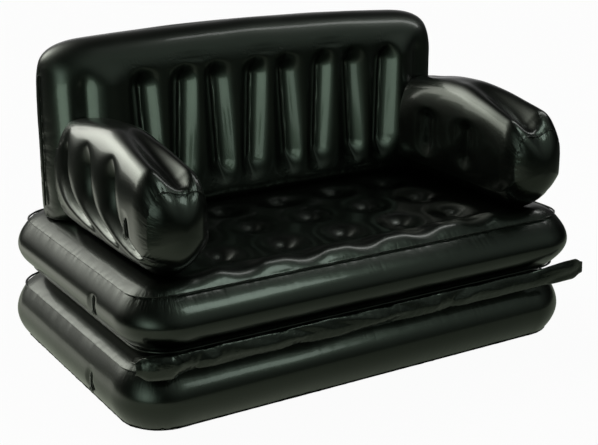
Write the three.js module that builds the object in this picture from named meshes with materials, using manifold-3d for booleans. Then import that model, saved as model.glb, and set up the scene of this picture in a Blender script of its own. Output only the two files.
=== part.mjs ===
// Inflatable two-tier sofa: a seat unit with a ribbed backrest and two arms stands on a fold-out base.
// Units are millimetres, +Z is up, +X is to the right seen from the front and the front faces -Y.
// The origin is on the floor, under the middle of the seat tier.
import * as THREE from "three";
import { mergeVertices } from "three/addons/utils/BufferGeometryUtils.js";
import Module from "manifold-3d";

const wasm = await Module();
wasm.setup();

// The two tiers
const TIER_WIDTH = 1520;
const TIER_DEPTH = 970;
const TIER_HEIGHT = 200;
const TIER_CORNER_RADIUS = 150;
const BASE_SHIFT_X = -10; // the base lies a little left of the seat tier
const BASE_SHIFT_Y = 14; // and a little behind it
const SEAM_INSET = 48; // a weld seam lies this far inside the side band's bulge
const SEAM_DROP = 28; // and this far below the tier's top, or above its underside
const SHOULDER_INSET = 66;
const SHOULDER_DROP = 10;
const CREST_INSET = 95; // from here inwards the sheets are level
const CREST_RISE = 4; // the seat's top sheet stands this far proud of the tier's height
const FLOOR_SEAM_INSET = 36; // the base's bottom seam lies close to the floor
const FLOOR_SEAM_RISE = 7;
const FLOOR_SEAM_LEAN = Math.PI / 6;
const FLOOR_CREST_INSET = 62;

// Dimples, where coil beams inside a tier hold its top and bottom sheets together
const DIMPLE_PITCH_X = 200;
const DIMPLE_PITCH_Y = 180;
const DIMPLE_RADIUS_X = 50;
const DIMPLE_RADIUS_Y = 45;
const SEAT_DIMPLE_DEPTH = 22;
const FLOOR_DIMPLE_DEPTH = 14;
const DIMPLE_COLUMNS = 7;
const DIMPLE_ROWS = 4;
const BEAM_RADIUS = 26;

// Wall thickness that stands in for the film, which is far thinner
const BAND_WALL = 24;
const SHEET_WALL = 14;

// Backrest
const BACK_END_INSET = 72; // from the tier's side bulge to the backrest's end
const BACK_DEPTH = 250;
const BACK_REAR_INSET = 66; // from the tier's rear bulge to the backrest's rear face
const BACK_TOP = 945;
const BACK_ARCH = 26; // the top drops by this much from the middle to the ends
const BACK_END_ROUND = 98;
const BACK_END_DROP = 62;
const BACK_END_THINNING = 62;
const BACK_TOP_ROLL = 112;
const BACK_FOOT_ROUND = 46;
const RIB_PITCH = 125;
const RIB_COUNT = 7;
const RIB_DEPTH = 40;
const RIB_FOOT_RISE = 70; // the ribs start this far above the seat's top sheet
const RIB_HEAD_DROP = 99; // and end this far below the backrest's top
const RIB_FADE = 42;
const BACK_WALL = 30;

// Arms
const ARM_SIDE_INSET = 57; // from the tier's side bulge to the arm's outer face
const ARM_WIDTH = 200;
const ARM_FRONT_INSET = 33; // from the tier's front bulge to the arm's front panel
const ARM_TOP = 750;
const ARM_PEAK_Y = -90;
const ARM_TOP_FALL = 100; // the top drops by this much over the arm's reach from its peak
const ARM_FRONT_ROUND = 40; // the front panel bulges forward by this much
const ARM_FRONT_SHRINK_SHARE = 0.5;
const ARM_BROW_DROP = 30; // the top draws down to the front panel's seam
const ARM_BROW_RUN = 60;
const ARM_HOLLOW_DEPTH = 40; // a hollow lies between the top's two ridges, deepest by the seam
const ARM_HOLLOW_REACH = 46;
const ARM_HOLLOW_RUN = 330;
const ARM_SINK = 24; // makes the underside flat where the arm stands on the seat
const ARM_TOE_LIFT = 36; // the underside rises over the seat tier's shoulder
const ARM_TOE_RUN = 110;
const ARM_REAR_TAPER = 42; // the outer side draws in towards the backrest
const ARM_REAR_RUN = 100;
const CREASE_FIRST_Y = 120;
const CREASE_PITCH = 160;
const CREASE_COUNT = 3;
const CREASE_DEPTH = 20;
const CREASE_FOOT_RISE = 58; // above the seat's top sheet
const CREASE_HEAD_DROP = 82; // below the arm's top
const CREASE_FADE = 40;
const ARM_WALL = 36;
const ARM_EMBED = 110; // how far the uncut arm reaches into the backrest
const ARM_CAVITY_END = 60; // the cavity stops this far in front of the backrest's face
const AIR_PORT_RADIUS = 16;
const AIR_PORT_HEIGHT = 560;
const AIR_PORT_INSET = 42; // from the arm's middle towards the seat

// Weld seams and the ties inside
const SEAM_WIDTH = 9;
const SEAM_THICKNESS = 1.6;
const SEAM_STANDOFF = 0.8; // a lip begins this far outside its weld line
const ARM_SEAM_STANDOFF = 1.3;
const END_SEAM_FOOT_RISE = 36; // above the seat's top sheet
const END_SEAM_HEAD_DROP = 115; // below the backrest's top
const TIE_THICKNESS = 2;
const TIE_FOOT_MARGIN = 34;

// Hinge web between the tiers
const HINGE_REACH = 12; // the fold line lies this far in front of the seat tier's bulge
const WEB_LEFT_INSET = 120;
const WEB_RIGHT_INSET = 25;
const TAIL_LENGTH = 90;
const TAIL_RISE = 26;
const TAIL_THICKNESS = 12;
const TAIL_GATHER_SHARE = 0.45;
const FLAP_TIP_INSET = 22;
const FLAP_RUN = 20;
const FLAP_SETBACK = 30;
const FLAP_TIP_SETBACK = 84;
const FLAP_DROP = 70;
const WEB_THICKNESS = 2.4;
const WEB_RUFFLE = 3;
const WEB_RUFFLE_LENGTH = 118;
const WEB_STEPS = 26;
const WEB_BELLY = 4;

// Valves
const VALVE_BORE_RADIUS = 6.3;
const STEM_RADIUS = 8.5;
const STEM_LENGTH = 16;
const FLANGE_THICKNESS = 2;
const FLANGE_LOW_RADIUS = 14;
const FLANGE_HIGH_RADIUS = 8;
const FLANGE_SPAN = 38; // between the centres of the flange's two round ends
const ANCHOR_LENGTH = 7;
const STRAP_WIDTH = 8;
const STRAP_THICKNESS = 1.8;
const PLUG_HEAD_RADIUS = 8.6;
const PLUG_HEAD_THICKNESS = 2.6;
const PLUG_ROOT_RADIUS = 5.9;
const PLUG_TIP_RADIUS = 4.4;
const PLUG_LENGTH = 8;
const FLAP_RADIUS = 7.6;
const FLAP_THICKNESS = 1;
const FLAP_POCKET_RADIUS = 12;
const FLAP_POCKET_LENGTH = 30;
const POCKET_MARGIN = 1.6;
const BAND_POCKET_DEPTH = 6.5; // a valve on a tier's side band is sunk until its ends are flush
const ARM_POCKET_DEPTH = 4;
const TIER_VALVE_Y = -196;
const SEAT_VALVE_RISE = 84; // bore above the underside of its tier
const BASE_VALVE_RISE = 56;
const ARM_VALVE_Y = -300;
const ARM_VALVE_HEIGHT = 520;

const CLEARANCE = 0.3; // between neighbours that touch
const OVERRUN = 60; // past the faces that a cutting tool leaves
const STEM_CLEARANCE = 0.3;

// Facet counts
const CORNER_STEPS = 6;
const LONG_SIDE_STEPS = 2;
const SHORT_SIDE_STEPS = 1;
const BAND_STEPS = 6;
const CAVITY_CORNER_STEPS = 3;
const BEAM_SIDES = 4;
const ARM_SIDES = 18;
const ARM_BULGE_POWER = 0.7;
const ARM_FOOT_POWER = 0.95; // the lower half is rounder than the upper one
const RIB_STEPS = 4;
const ROUND_SIDES = 16;

// Values that follow from the sizes
const SEAT_FLOOR = TIER_HEIGHT + CLEARANCE / 2;
const BASE_TOP = TIER_HEIGHT - CLEARANCE / 2;
const SEAT_TOP = 2 * TIER_HEIGHT + CREST_RISE;
const FOOT_HEIGHT = SEAT_TOP + CLEARANCE;
const RIB_FOOT = SEAT_TOP + RIB_FOOT_RISE;
const RIB_HEAD = BACK_TOP - RIB_HEAD_DROP;
const CREASE_FOOT = SEAT_TOP + CREASE_FOOT_RISE;
const CREASE_HEAD = ARM_TOP - CREASE_HEAD_DROP;
const END_SEAM_FOOT = SEAT_TOP + END_SEAM_FOOT_RISE;
const END_SEAM_HEAD = BACK_TOP - END_SEAM_HEAD_DROP;
const BACK_WIDTH = TIER_WIDTH - 2 * BACK_END_INSET;
const BACK_REAR = TIER_DEPTH / 2 - BACK_REAR_INSET;
const BACK_FRONT = BACK_REAR - BACK_DEPTH;
const BACK_MIDDLE = (BACK_REAR + BACK_FRONT) / 2;
const RIBS_HALF_WIDTH = (RIB_COUNT * RIB_PITCH) / 2;
const ARM_MIDDLE_X = TIER_WIDTH / 2 - ARM_SIDE_INSET - ARM_WIDTH / 2;
const ARM_FRONT = TIER_DEPTH / 2 - ARM_FRONT_INSET;
const HINGE_Y = -TIER_DEPTH / 2 - HINGE_REACH;
const WEB_LEFT = -TIER_WIDTH / 2 + WEB_LEFT_INSET;
const WEB_RIGHT = TIER_WIDTH / 2 - WEB_RIGHT_INSET;

const vinyl = new THREE.MeshStandardMaterial({ color: 0x14150f, roughness: 0.28, metalness: 0 });
const seamVinyl = new THREE.MeshStandardMaterial({ color: 0x191a15, roughness: 0.36, metalness: 0 });
const webVinyl = new THREE.MeshStandardMaterial({ color: 0x101210, roughness: 0.32, metalness: 0 });
const valveVinyl = new THREE.MeshStandardMaterial({ color: 0x1c1d1a, roughness: 0.3, metalness: 0 });
const innerVinyl = new THREE.MeshStandardMaterial({ color: 0x24241f, roughness: 0.5, metalness: 0 });

const sofa = new THREE.Group();

// A closed skin of shared points, built ring by ring
class Skin {
  constructor() {
    this.points = [];
    this.faces = [];
  }

  ring(points) {
    return points.map((point) => this.points.push(point) - 1);
  }

  face(a, b, c, flipped) {
    this.faces.push(flipped ? [a, c, b] : [a, b, c]);
  }

  // Joins two closed rings that have as many points
  strip(first, second) {
    first.forEach((a, i) => {
      const next = (i + 1) % first.length;
      this.face(a, first[next], second[next]);
      this.face(a, second[next], second[i]);
    });
  }

  // Closes a ring that is convex seen from outside
  cap(ring, flipped) {
    for (let i = 1; i < ring.length - 1; i += 1) this.face(ring[0], ring[i], ring[i + 1], flipped);
  }

  // Joins two closed rings round the Z axis that have different counts of points
  stitch(outer, inner, flipped) {
    const angle = (i) => Math.atan2(this.points[i][1], this.points[i][0]);
    const sorted = (ring) => [...ring].sort((a, b) => angle(a) - angle(b));
    const far = sorted(outer);
    const near = sorted(inner);
    const turn = 2 * Math.PI;
    const at = (ring, i) => angle(ring[i % ring.length]) + (i < ring.length ? 0 : turn);
    let i = 0;
    let j = 0;
    while (i < far.length || j < near.length) {
      const a = far[i % far.length];
      const b = near[j % near.length];
      const widen = j >= near.length || (i < far.length && at(far, i + 1) <= at(near, j + 1));
      if (widen) this.face(a, far[(i + 1) % far.length], b, flipped);
      else this.face(a, near[(j + 1) % near.length], b, flipped);
      i += widen ? 1 : 0;
      j += widen ? 0 : 1;
    }
  }

  // A height field on a rectangle, which returns its border as a ring
  field(xs, ys, heightAt, flipped) {
    const rows = ys.map((y) => this.ring(xs.map((x) => [x, y, heightAt(x, y)])));
    for (let j = 0; j < ys.length - 1; j += 1) {
      for (let i = 0; i < xs.length - 1; i += 1) {
        this.face(rows[j][i], rows[j][i + 1], rows[j + 1][i + 1], flipped);
        this.face(rows[j][i], rows[j + 1][i + 1], rows[j + 1][i], flipped);
      }
    }
    const last = xs.length - 1;
    return [
      ...rows[0].slice(0, last),
      ...rows.slice(0, -1).map((row) => row[last]),
      ...rows[rows.length - 1].slice(1).reverse(),
      ...rows.slice(1).map((row) => row[0]).reverse(),
    ];
  }

  solid() {
    const volume = this.faces.reduce((sum, [a, b, c]) => {
      const [p, q, r] = [a, b, c].map((i) => new THREE.Vector3(...this.points[i]));
      return sum + p.dot(q.cross(r));
    }, 0);
    const faces = volume < 0 ? this.faces.map(([a, b, c]) => [a, c, b]) : this.faces;
    const mesh = new wasm.Mesh({
      numProp: 3,
      vertProperties: new Float32Array(this.points.flat()),
      triVerts: new Uint32Array(faces.flat()),
    });
    return new wasm.Manifold(mesh);
  }
}

function solidOf(geometry, matrix) {
  const bare = geometry.clone();
  bare.deleteAttribute("normal");
  bare.deleteAttribute("uv");
  if (matrix) bare.applyMatrix4(matrix);
  const merged = mergeVertices(bare);
  const mesh = new wasm.Mesh({
    numProp: 3,
    vertProperties: new Float32Array(merged.attributes.position.array),
    triVerts: new Uint32Array(merged.index.array),
  });
  return new wasm.Manifold(mesh);
}

function geometryOf(solid) {
  const mesh = solid.getMesh();
  const geometry = new THREE.BufferGeometry();
  geometry.setAttribute("position", new THREE.BufferAttribute(new Float32Array(mesh.vertProperties), 3));
  geometry.setIndex(new THREE.BufferAttribute(new Uint32Array(mesh.triVerts), 1));
  geometry.computeVertexNormals();
  return geometry;
}

function addPart(name, solid, material, parent = sofa) {
  const mesh = new THREE.Mesh(geometryOf(solid), material);
  mesh.name = name;
  parent.add(mesh);
  return mesh;
}

function range(count, from, to) {
  return Array.from({ length: count }, (unused, i) => from + ((to - from) * i) / (count - 1));
}

function mix(from, to, share) {
  return from + (to - from) * share;
}

// 0 below the first value, 1 above the second and smooth between
function fade(value, low, high) {
  return THREE.MathUtils.smoothstep(value, low, high);
}

// One ring of a tier, set in from the bulge's outline, anticlockwise seen from above
function tierRing(inset, height, cornerSteps, longSteps, shortSteps) {
  const halfWidth = TIER_WIDTH / 2 - inset;
  const halfDepth = TIER_DEPTH / 2 - inset;
  const radius = TIER_CORNER_RADIUS - inset;
  const ring = [];
  for (let corner = 0; corner < 4; corner += 1) {
    const signX = corner === 0 || corner === 3 ? 1 : -1;
    const signY = corner < 2 ? 1 : -1;
    const x = signX * (halfWidth - radius);
    const y = signY * (halfDepth - radius);
    for (let i = 0; i <= cornerSteps; i += 1) {
      const angle = ((corner + i / cornerSteps) * Math.PI) / 2;
      ring.push([x + radius * Math.cos(angle), y + radius * Math.sin(angle), height]);
    }
    const along = corner % 2 === 0;
    const steps = along ? longSteps : shortSteps;
    const start = ring[ring.length - 1];
    const end = along ? [-x, start[1], height] : [start[0], -y, height];
    for (let i = 1; i < steps; i += 1) {
      ring.push([mix(start[0], end[0], i / steps), mix(start[1], end[1], i / steps), height]);
    }
  }
  return ring;
}

function outerRing(inset, height) {
  return tierRing(inset, height, CORNER_STEPS, LONG_SIDE_STEPS, SHORT_SIDE_STEPS);
}

// Insets and heights of the side band between its two seams: half an ellipse
function bandProfile(lowSeam, highSeam) {
  return range(BAND_STEPS + 1, 0, 1).map((share) => {
    const angle = share * Math.PI;
    const rise = (1 - Math.cos(angle)) / 2;
    const inset = mix(lowSeam.inset, highSeam.inset, rise) * (1 - Math.sin(angle));
    return { inset, height: mix(lowSeam.height, highSeam.height, rise) };
  });
}

// Centres of a row of copies, spaced evenly about the middle
function centred(count, pitch) {
  return Array.from({ length: count }, (unused, i) => (i - (count - 1) / 2) * pitch);
}

const dimpleColumns = centred(DIMPLE_COLUMNS, DIMPLE_PITCH_X);
const dimpleRows = centred(DIMPLE_ROWS, DIMPLE_PITCH_Y);

// Grid lines through each dimple's centre and both its edges, and halfway to the next
function dimpleLines(centres, radius) {
  const halfway = centres.slice(1).map((centre, i) => (centre + centres[i]) / 2);
  const lines = centres.flatMap((centre) => [centre - radius, centre, centre + radius]);
  return [...lines, ...halfway].sort((a, b) => a - b);
}

function toNearest(value, centres) {
  return Math.min(...centres.map((centre) => Math.abs(value - centre)));
}

// A top sheet that swells between its dimples, and is level where covered() says so
function swollenSheet(level, depth, covered) {
  const near = (value, centres, pitch) => {
    return Math.cos((Math.PI * Math.min(toNearest(value, centres), pitch / 2)) / pitch) ** 2;
  };
  return (x, y) => {
    if (covered(x, y)) return level;
    return level - depth * near(x, dimpleColumns, DIMPLE_PITCH_X) * near(y, dimpleRows, DIMPLE_PITCH_Y);
  };
}

// A bottom sheet that lies flat on the floor between its dimples
function floorSheet(x, y) {
  const alongX = Math.max(1 - toNearest(x, dimpleColumns) / DIMPLE_RADIUS_X, 0);
  const alongY = Math.max(1 - toNearest(y, dimpleRows) / DIMPLE_RADIUS_Y, 0);
  return FLOOR_DIMPLE_DEPTH * alongX * alongY;
}

// The outside of a tier: bottom sheet, side band and top sheet
function tierSkin({ floor, lowSeam, highSeam, lowRings, highRings, bottom, top }) {
  const skin = new Skin();
  const levels = [...lowRings, ...bandProfile(lowSeam, highSeam), ...highRings];
  const rings = levels.map((level) => skin.ring(outerRing(level.inset, floor + level.height)));
  for (let i = 0; i < rings.length - 1; i += 1) skin.strip(rings[i], rings[i + 1]);
  const xs = dimpleLines(dimpleColumns, DIMPLE_RADIUS_X);
  const ys = dimpleLines(dimpleRows, DIMPLE_RADIUS_Y);
  const close = (ring, heightAt, flipped) => {
    if (heightAt) skin.stitch(ring, skin.field(xs, ys, heightAt, flipped), flipped);
    else skin.cap(ring, flipped);
  };
  close(rings[0], bottom, true);
  close(rings[rings.length - 1], top, false);
  return skin.solid();
}

// The air space inside a tier, with the coil beams left standing in it
function tierCavity({ floor, lowSeam, highSeam, ceiling }) {
  const skin = new Skin();
  const levels = [
    { inset: CREST_INSET, height: SHEET_WALL },
    { inset: lowSeam.inset + BAND_WALL / 2, height: lowSeam.height + SHEET_WALL },
    { inset: BAND_WALL, height: TIER_HEIGHT / 2 },
    { inset: highSeam.inset + BAND_WALL / 2, height: highSeam.height - SHEET_WALL },
    { inset: CREST_INSET, height: ceiling },
  ];
  const rings = levels.map((level) =>
    skin.ring(tierRing(level.inset, floor + level.height, CAVITY_CORNER_STEPS, 1, 1)),
  );
  for (let i = 0; i < rings.length - 1; i += 1) skin.strip(rings[i], rings[i + 1]);
  skin.cap(rings[0], true);
  skin.cap(rings[rings.length - 1], false);
  const beam = new THREE.CylinderGeometry(BEAM_RADIUS, BEAM_RADIUS, TIER_HEIGHT, BEAM_SIDES);
  const upright = new THREE.Matrix4().makeRotationX(Math.PI / 2);
  let space = skin.solid();
  for (const x of dimpleColumns) {
    for (const y of dimpleRows) {
      const place = new THREE.Matrix4().makeTranslation(x, y, floor + TIER_HEIGHT / 2);
      space = space.subtract(solidOf(beam, place.multiply(upright)));
    }
  }
  return space;
}

const seam = (inset, height) => ({ inset, height });
const upperShoulder = [
  seam(SHOULDER_INSET, TIER_HEIGHT - SHOULDER_DROP),
  seam(CREST_INSET, TIER_HEIGHT),
];
const seatLowSeam = seam(SEAM_INSET, SEAM_DROP);
const seatHighSeam = seam(SEAM_INSET, TIER_HEIGHT - SEAM_DROP);
const baseLowSeam = seam(FLOOR_SEAM_INSET, FLOOR_SEAM_RISE);
const baseHighSeam = seam(SEAM_INSET, TIER_HEIGHT - SEAM_DROP);

// Dimples under the arms and the backrest are covered, so the sheet is level there
function underUpholstery(x, y) {
  const armInner = ARM_MIDDLE_X - ARM_WIDTH / 2;
  return Math.abs(x) >= armInner || y >= BACK_FRONT;
}

function seatSkin() {
  return tierSkin({
    floor: SEAT_FLOOR,
    lowSeam: seatLowSeam,
    highSeam: seatHighSeam,
    lowRings: [seam(CREST_INSET, 0), seam(SHOULDER_INSET, SHOULDER_DROP)],
    highRings: [upperShoulder[0], seam(CREST_INSET, SEAT_TOP - SEAT_FLOOR)],
    top: swollenSheet(SEAT_TOP, SEAT_DIMPLE_DEPTH, underUpholstery),
  });
}

function baseSkin() {
  return tierSkin({
    floor: 0,
    lowSeam: baseLowSeam,
    highSeam: baseHighSeam,
    lowRings: [seam(FLOOR_CREST_INSET, 0)],
    highRings: [upperShoulder[0], seam(CREST_INSET, BASE_TOP)],
    bottom: floorSheet,
  });
}

// How far the ribbed face lies behind its crest, by the place along the backrest
function ribValley(x) {
  if (Math.abs(x) > RIBS_HALF_WIDTH + RIB_PITCH / 2) return 0;
  const phase = (x + RIBS_HALF_WIDTH) / RIB_PITCH;
  const off = 2 * (phase - Math.floor(phase)) - 1;
  return RIB_DEPTH * (1 - Math.sqrt(1 - off * off));
}

function ribWindow(z) {
  const rise = fade(z, RIB_FOOT - RIB_FADE / 2, RIB_FOOT + RIB_FADE);
  return rise * (1 - fade(z, RIB_HEAD - RIB_FADE, RIB_HEAD));
}

// 0 on the flat of a rounded end, rising to 1 at its tip
function endRound(x, halfWidth, radius) {
  const past = Math.min(Math.max((Math.abs(x) - (halfWidth - radius)) / radius, 0), 1);
  return 1 - Math.sqrt(1 - past * past);
}

// Places on the ribbed face as shares of its height, from the roll down to the foot
const faceFoot = FOOT_HEIGHT + BACK_FOOT_ROUND;
const faceHead = BACK_TOP - BACK_TOP_ROLL;
const ribLevels = [RIB_HEAD - RIB_FADE, (RIB_FOOT + RIB_HEAD) / 2, RIB_FOOT + RIB_FADE, RIB_FOOT].map(
  (height) => (height - faceFoot) / (faceHead - faceFoot),
);

// One upright section of the backrest, at x, as a closed ring in the YZ plane
function backSection(x, inset) {
  const halfWidth = BACK_WIDTH / 2;
  const round = endRound(x, halfWidth, BACK_END_ROUND);
  const arch = BACK_ARCH * (x / halfWidth) ** 2;
  const top = BACK_TOP - arch - BACK_END_DROP * round - inset;
  const halfDepth = BACK_DEPTH / 2 - BACK_END_THINNING * round - inset;
  const foot = FOOT_HEIGHT + inset;
  const roll = BACK_TOP_ROLL - inset;
  const corner = BACK_FOOT_ROUND - inset / 2;
  const quarter = (steps, from, centreY, centreZ, radiusY, radiusZ) =>
    range(steps + 1, from, from + Math.PI / 2).map((angle) => [
      centreY + radiusY * Math.cos(angle),
      centreZ + radiusZ * Math.sin(angle),
    ]);
  const rear = BACK_MIDDLE + halfDepth;
  const front = BACK_MIDDLE - halfDepth;
  const spring = top - roll;
  const plain = [
    ...quarter(2, -Math.PI / 2, rear - corner, foot + corner, corner, corner),
    [rear, mix(foot, spring, 1 / 2)],
    ...quarter(3, 0, BACK_MIDDLE, spring, halfDepth, roll),
    ...quarter(3, Math.PI / 2, BACK_MIDDLE, spring, halfDepth, roll).slice(1),
    ...ribLevels.map((share) => [front, mix(foot + corner, spring, share)]),
    ...quarter(2, Math.PI, front + corner, foot + corner, corner, corner),
  ];
  const face = (y, z) => (y < BACK_MIDDLE ? y + ribValley(x) * ribWindow(z) : y);
  return plain.map(([y, z]) => [x, inset ? y : face(y, z), z]);
}

function backStations() {
  const ribs = range(RIB_COUNT * RIB_STEPS + 1, -RIBS_HALF_WIDTH, RIBS_HALF_WIDTH);
  const halfWidth = BACK_WIDTH / 2;
  const ends = [
    RIBS_HALF_WIDTH + RIB_PITCH / 4,
    RIBS_HALF_WIDTH + RIB_PITCH / 2,
    halfWidth - BACK_END_ROUND,
    ...range(4, Math.PI / 6, Math.PI / 2).map((angle) => halfWidth - BACK_END_ROUND * (1 - Math.sin(angle))),
  ];
  return [...ends.map((x) => -x).reverse(), ...ribs, ...ends];
}

function loft(sections) {
  const skin = new Skin();
  const rings = sections.map((section) => skin.ring(section));
  for (let i = 0; i < rings.length - 1; i += 1) skin.strip(rings[i], rings[i + 1]);
  skin.cap(rings[0], true);
  skin.cap(rings[rings.length - 1], false);
  return skin.solid();
}

function backSkin() {
  return loft(backStations().map((x) => backSection(x, 0)));
}

const backCavityHalfWidth = BACK_WIDTH / 2 - BACK_END_ROUND;
const backCavityFront = BACK_FRONT + RIB_DEPTH + BACK_WALL;
const backCavityRear = BACK_REAR - BACK_WALL;
const backCavityFloor = FOOT_HEIGHT + BACK_WALL;
const backCavityTop = BACK_TOP - BACK_ARCH - BACK_TOP_ROLL / 2;

function boxSolid(low, high) {
  const size = high.map((value, i) => value - low[i]);
  const place = new THREE.Matrix4().makeTranslation(...low.map((value, i) => value + size[i] / 2));
  return solidOf(new THREE.BoxGeometry(...size), place);
}

function backCavity() {
  return boxSolid(
    [-backCavityHalfWidth, backCavityFront, backCavityFloor],
    [backCavityHalfWidth, backCavityRear, backCavityTop],
  );
}

function armTopAt(y) {
  const brow = ARM_FRONT - ARM_FRONT_ROUND;
  const fall = ARM_TOP_FALL * ((y - ARM_PEAK_Y) / ARM_FRONT) ** 2;
  return ARM_TOP - fall - ARM_BROW_DROP * fade(-y, brow - ARM_BROW_RUN, brow);
}

// How deep the hollow of the arm's top is, by the place along it
function hollowDepth(y) {
  const brow = ARM_FRONT - ARM_FRONT_ROUND;
  return ARM_HOLLOW_DEPTH * fade(-y, brow - ARM_HOLLOW_RUN, brow);
}

// How far an arm's side faces are drawn in, by the place along it
function creaseDepth(y) {
  const phase = (CREASE_FIRST_Y - y) / CREASE_PITCH;
  const nearest = Math.min(Math.max(Math.round(phase), 0), CREASE_COUNT - 1);
  const off = Math.min(Math.abs(phase - nearest) * 2, 1);
  return CREASE_DEPTH * (1 - Math.sqrt(off * (2 - off)));
}

function creaseWindow(z, top) {
  const head = Math.min(CREASE_HEAD, top - CREASE_FADE);
  const rise = fade(z, CREASE_FOOT - CREASE_FADE / 2, CREASE_FOOT + CREASE_FADE);
  return rise * (1 - fade(z, head - CREASE_FADE, head));
}

// One upright section across the left arm, at y, as a closed ring in the XZ plane
function armSection(y) {
  const front = Math.max(ARM_FRONT_ROUND - (y + ARM_FRONT), 0) / ARM_FRONT_ROUND;
  const shrink = ARM_FRONT_SHRINK_SHARE * (1 - Math.sqrt(1 - front * front));
  const foot = FOOT_HEIGHT + ARM_TOE_LIFT * fade(-y, ARM_FRONT - ARM_TOE_RUN, ARM_FRONT);
  const top = armTopAt(y);
  const middle = (top + foot - ARM_SINK) / 2;
  const halfHeight = ((top - foot + ARM_SINK) / 2) * (1 - shrink);
  const taper = ARM_REAR_TAPER * fade(y, BACK_FRONT - ARM_REAR_RUN / 2, BACK_FRONT + ARM_REAR_RUN / 2);
  return range(ARM_SIDES + 1, 0, 2 * Math.PI).slice(0, -1).map((angle) => {
    const up = Math.sin(angle);
    const power = up < 0 ? ARM_FOOT_POWER : ARM_BULGE_POWER;
    const swell = (value) => Math.sign(value) * Math.abs(value) ** power;
    const side = swell(Math.cos(angle));
    const halfWidth = (ARM_WIDTH / 2) * (1 - shrink) - (side < 0 ? taper : 0);
    const nearMiddle = Math.exp(-((halfWidth * side / ARM_HOLLOW_REACH) ** 2));
    const hollow = hollowDepth(y) * Math.max(up, 0) * nearMiddle;
    const z = middle + halfHeight * swell(up);
    const drawn = creaseDepth(y) * creaseWindow(z, top) * Math.sign(side) * Math.min(Math.abs(side) * 2, 1);
    return [halfWidth * side - drawn, y, Math.max(z - hollow, foot)];
  });
}

function armStations() {
  const round = range(4, 0, Math.PI / 2).map((angle) => ARM_FRONT_ROUND * (1 - Math.cos(angle)) - ARM_FRONT);
  const lastCrease = CREASE_FIRST_Y - (CREASE_COUNT - 1) * CREASE_PITCH;
  const plain = range(3, -ARM_FRONT + ARM_FRONT_ROUND + ARM_BROW_RUN, lastCrease).slice(0, -1);
  const ribbed = range((CREASE_COUNT - 1) * RIB_STEPS + 1, lastCrease, CREASE_FIRST_Y);
  const rear = BACK_FRONT + ARM_EMBED;
  return [...round, ...plain, ...ribbed, mix(CREASE_FIRST_Y, BACK_FRONT, 1 / 2), BACK_FRONT, rear];
}

function armSkin() {
  return loft(armStations().map(armSection));
}

const armCavityHalfWidth = ARM_WIDTH / 2 - CREASE_DEPTH - ARM_WALL / 2;
const armCavityFront = -ARM_FRONT + ARM_FRONT_ROUND + ARM_WALL / 2;
const armCavityRear = BACK_FRONT - ARM_CAVITY_END;
const armCavityFloor = FOOT_HEIGHT + ARM_WALL;
const armCavityTop = armTopAt(armCavityFront) - ARM_HOLLOW_DEPTH - ARM_WALL;

function armCavity() {
  return boxSolid(
    [-armCavityHalfWidth, armCavityFront, armCavityFloor],
    [armCavityHalfWidth, armCavityRear, armCavityTop],
  );
}

// The hole that carries air between an arm and the backrest
function airPort(x) {
  const length = backCavityFront - armCavityRear + OVERRUN;
  const geometry = new THREE.CylinderGeometry(AIR_PORT_RADIUS, AIR_PORT_RADIUS, length, ROUND_SIDES);
  const middle = (backCavityFront + armCavityRear) / 2;
  return solidOf(geometry, new THREE.Matrix4().makeTranslation(x, middle, AIR_PORT_HEIGHT));
}

// A valve's own frame: its bore's mouth, with Y up the chamber's side and Z straight out of it
function valveFrame(x, y, z) {
  const axes = new THREE.Matrix4().makeBasis(
    new THREE.Vector3(0, -1, 0),
    new THREE.Vector3(0, 0, 1),
    new THREE.Vector3(-1, 0, 0),
  );
  return axes.setPosition(x, y, z);
}

// Teardrop outline: a wide round end at the bore and a narrow one at the strap's root
function teardrop(lowRadius, highRadius, span) {
  const lean = Math.asin((lowRadius - highRadius) / span);
  const shape = new THREE.Shape();
  shape.absarc(0, 0, lowRadius, Math.PI - lean, lean, false);
  shape.absarc(0, span, highRadius, lean, Math.PI - lean, false);
  shape.closePath();
  return shape;
}

function plate(shape, from, to) {
  const geometry = new THREE.ExtrudeGeometry(shape, {
    depth: to - from,
    bevelEnabled: false,
    curveSegments: ROUND_SIDES / 2,
  });
  return solidOf(geometry, new THREE.Matrix4().makeTranslation(0, 0, from));
}

function turned(profile) {
  const geometry = new THREE.LatheGeometry(
    profile.map(([radius, height]) => new THREE.Vector2(radius, height)),
    ROUND_SIDES,
  );
  return solidOf(geometry, new THREE.Matrix4().makeRotationX(Math.PI / 2));
}

// The space that a chamber's wall leaves for its valve, in the valve's own frame
function valvePocket(depth) {
  const margin = POCKET_MARGIN;
  const outline = teardrop(FLANGE_LOW_RADIUS + margin, FLANGE_HIGH_RADIUS + margin, FLANGE_SPAN);
  const sink = plate(outline, -CLEARANCE, depth + OVERRUN);
  const bore = turned([
    [0, -STEM_LENGTH - OVERRUN / 2],
    [FLAP_POCKET_RADIUS, -STEM_LENGTH - OVERRUN / 2],
    [FLAP_POCKET_RADIUS, -STEM_LENGTH],
    [STEM_RADIUS + STEM_CLEARANCE, -STEM_LENGTH],
    [STEM_RADIUS + STEM_CLEARANCE, depth],
    [0, depth],
  ]);
  return sink.add(bore);
}

const strapFloor = FLANGE_THICKNESS + CLEARANCE;
const strapRoot = FLANGE_SPAN - ANCHOR_LENGTH / 2;

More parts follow.
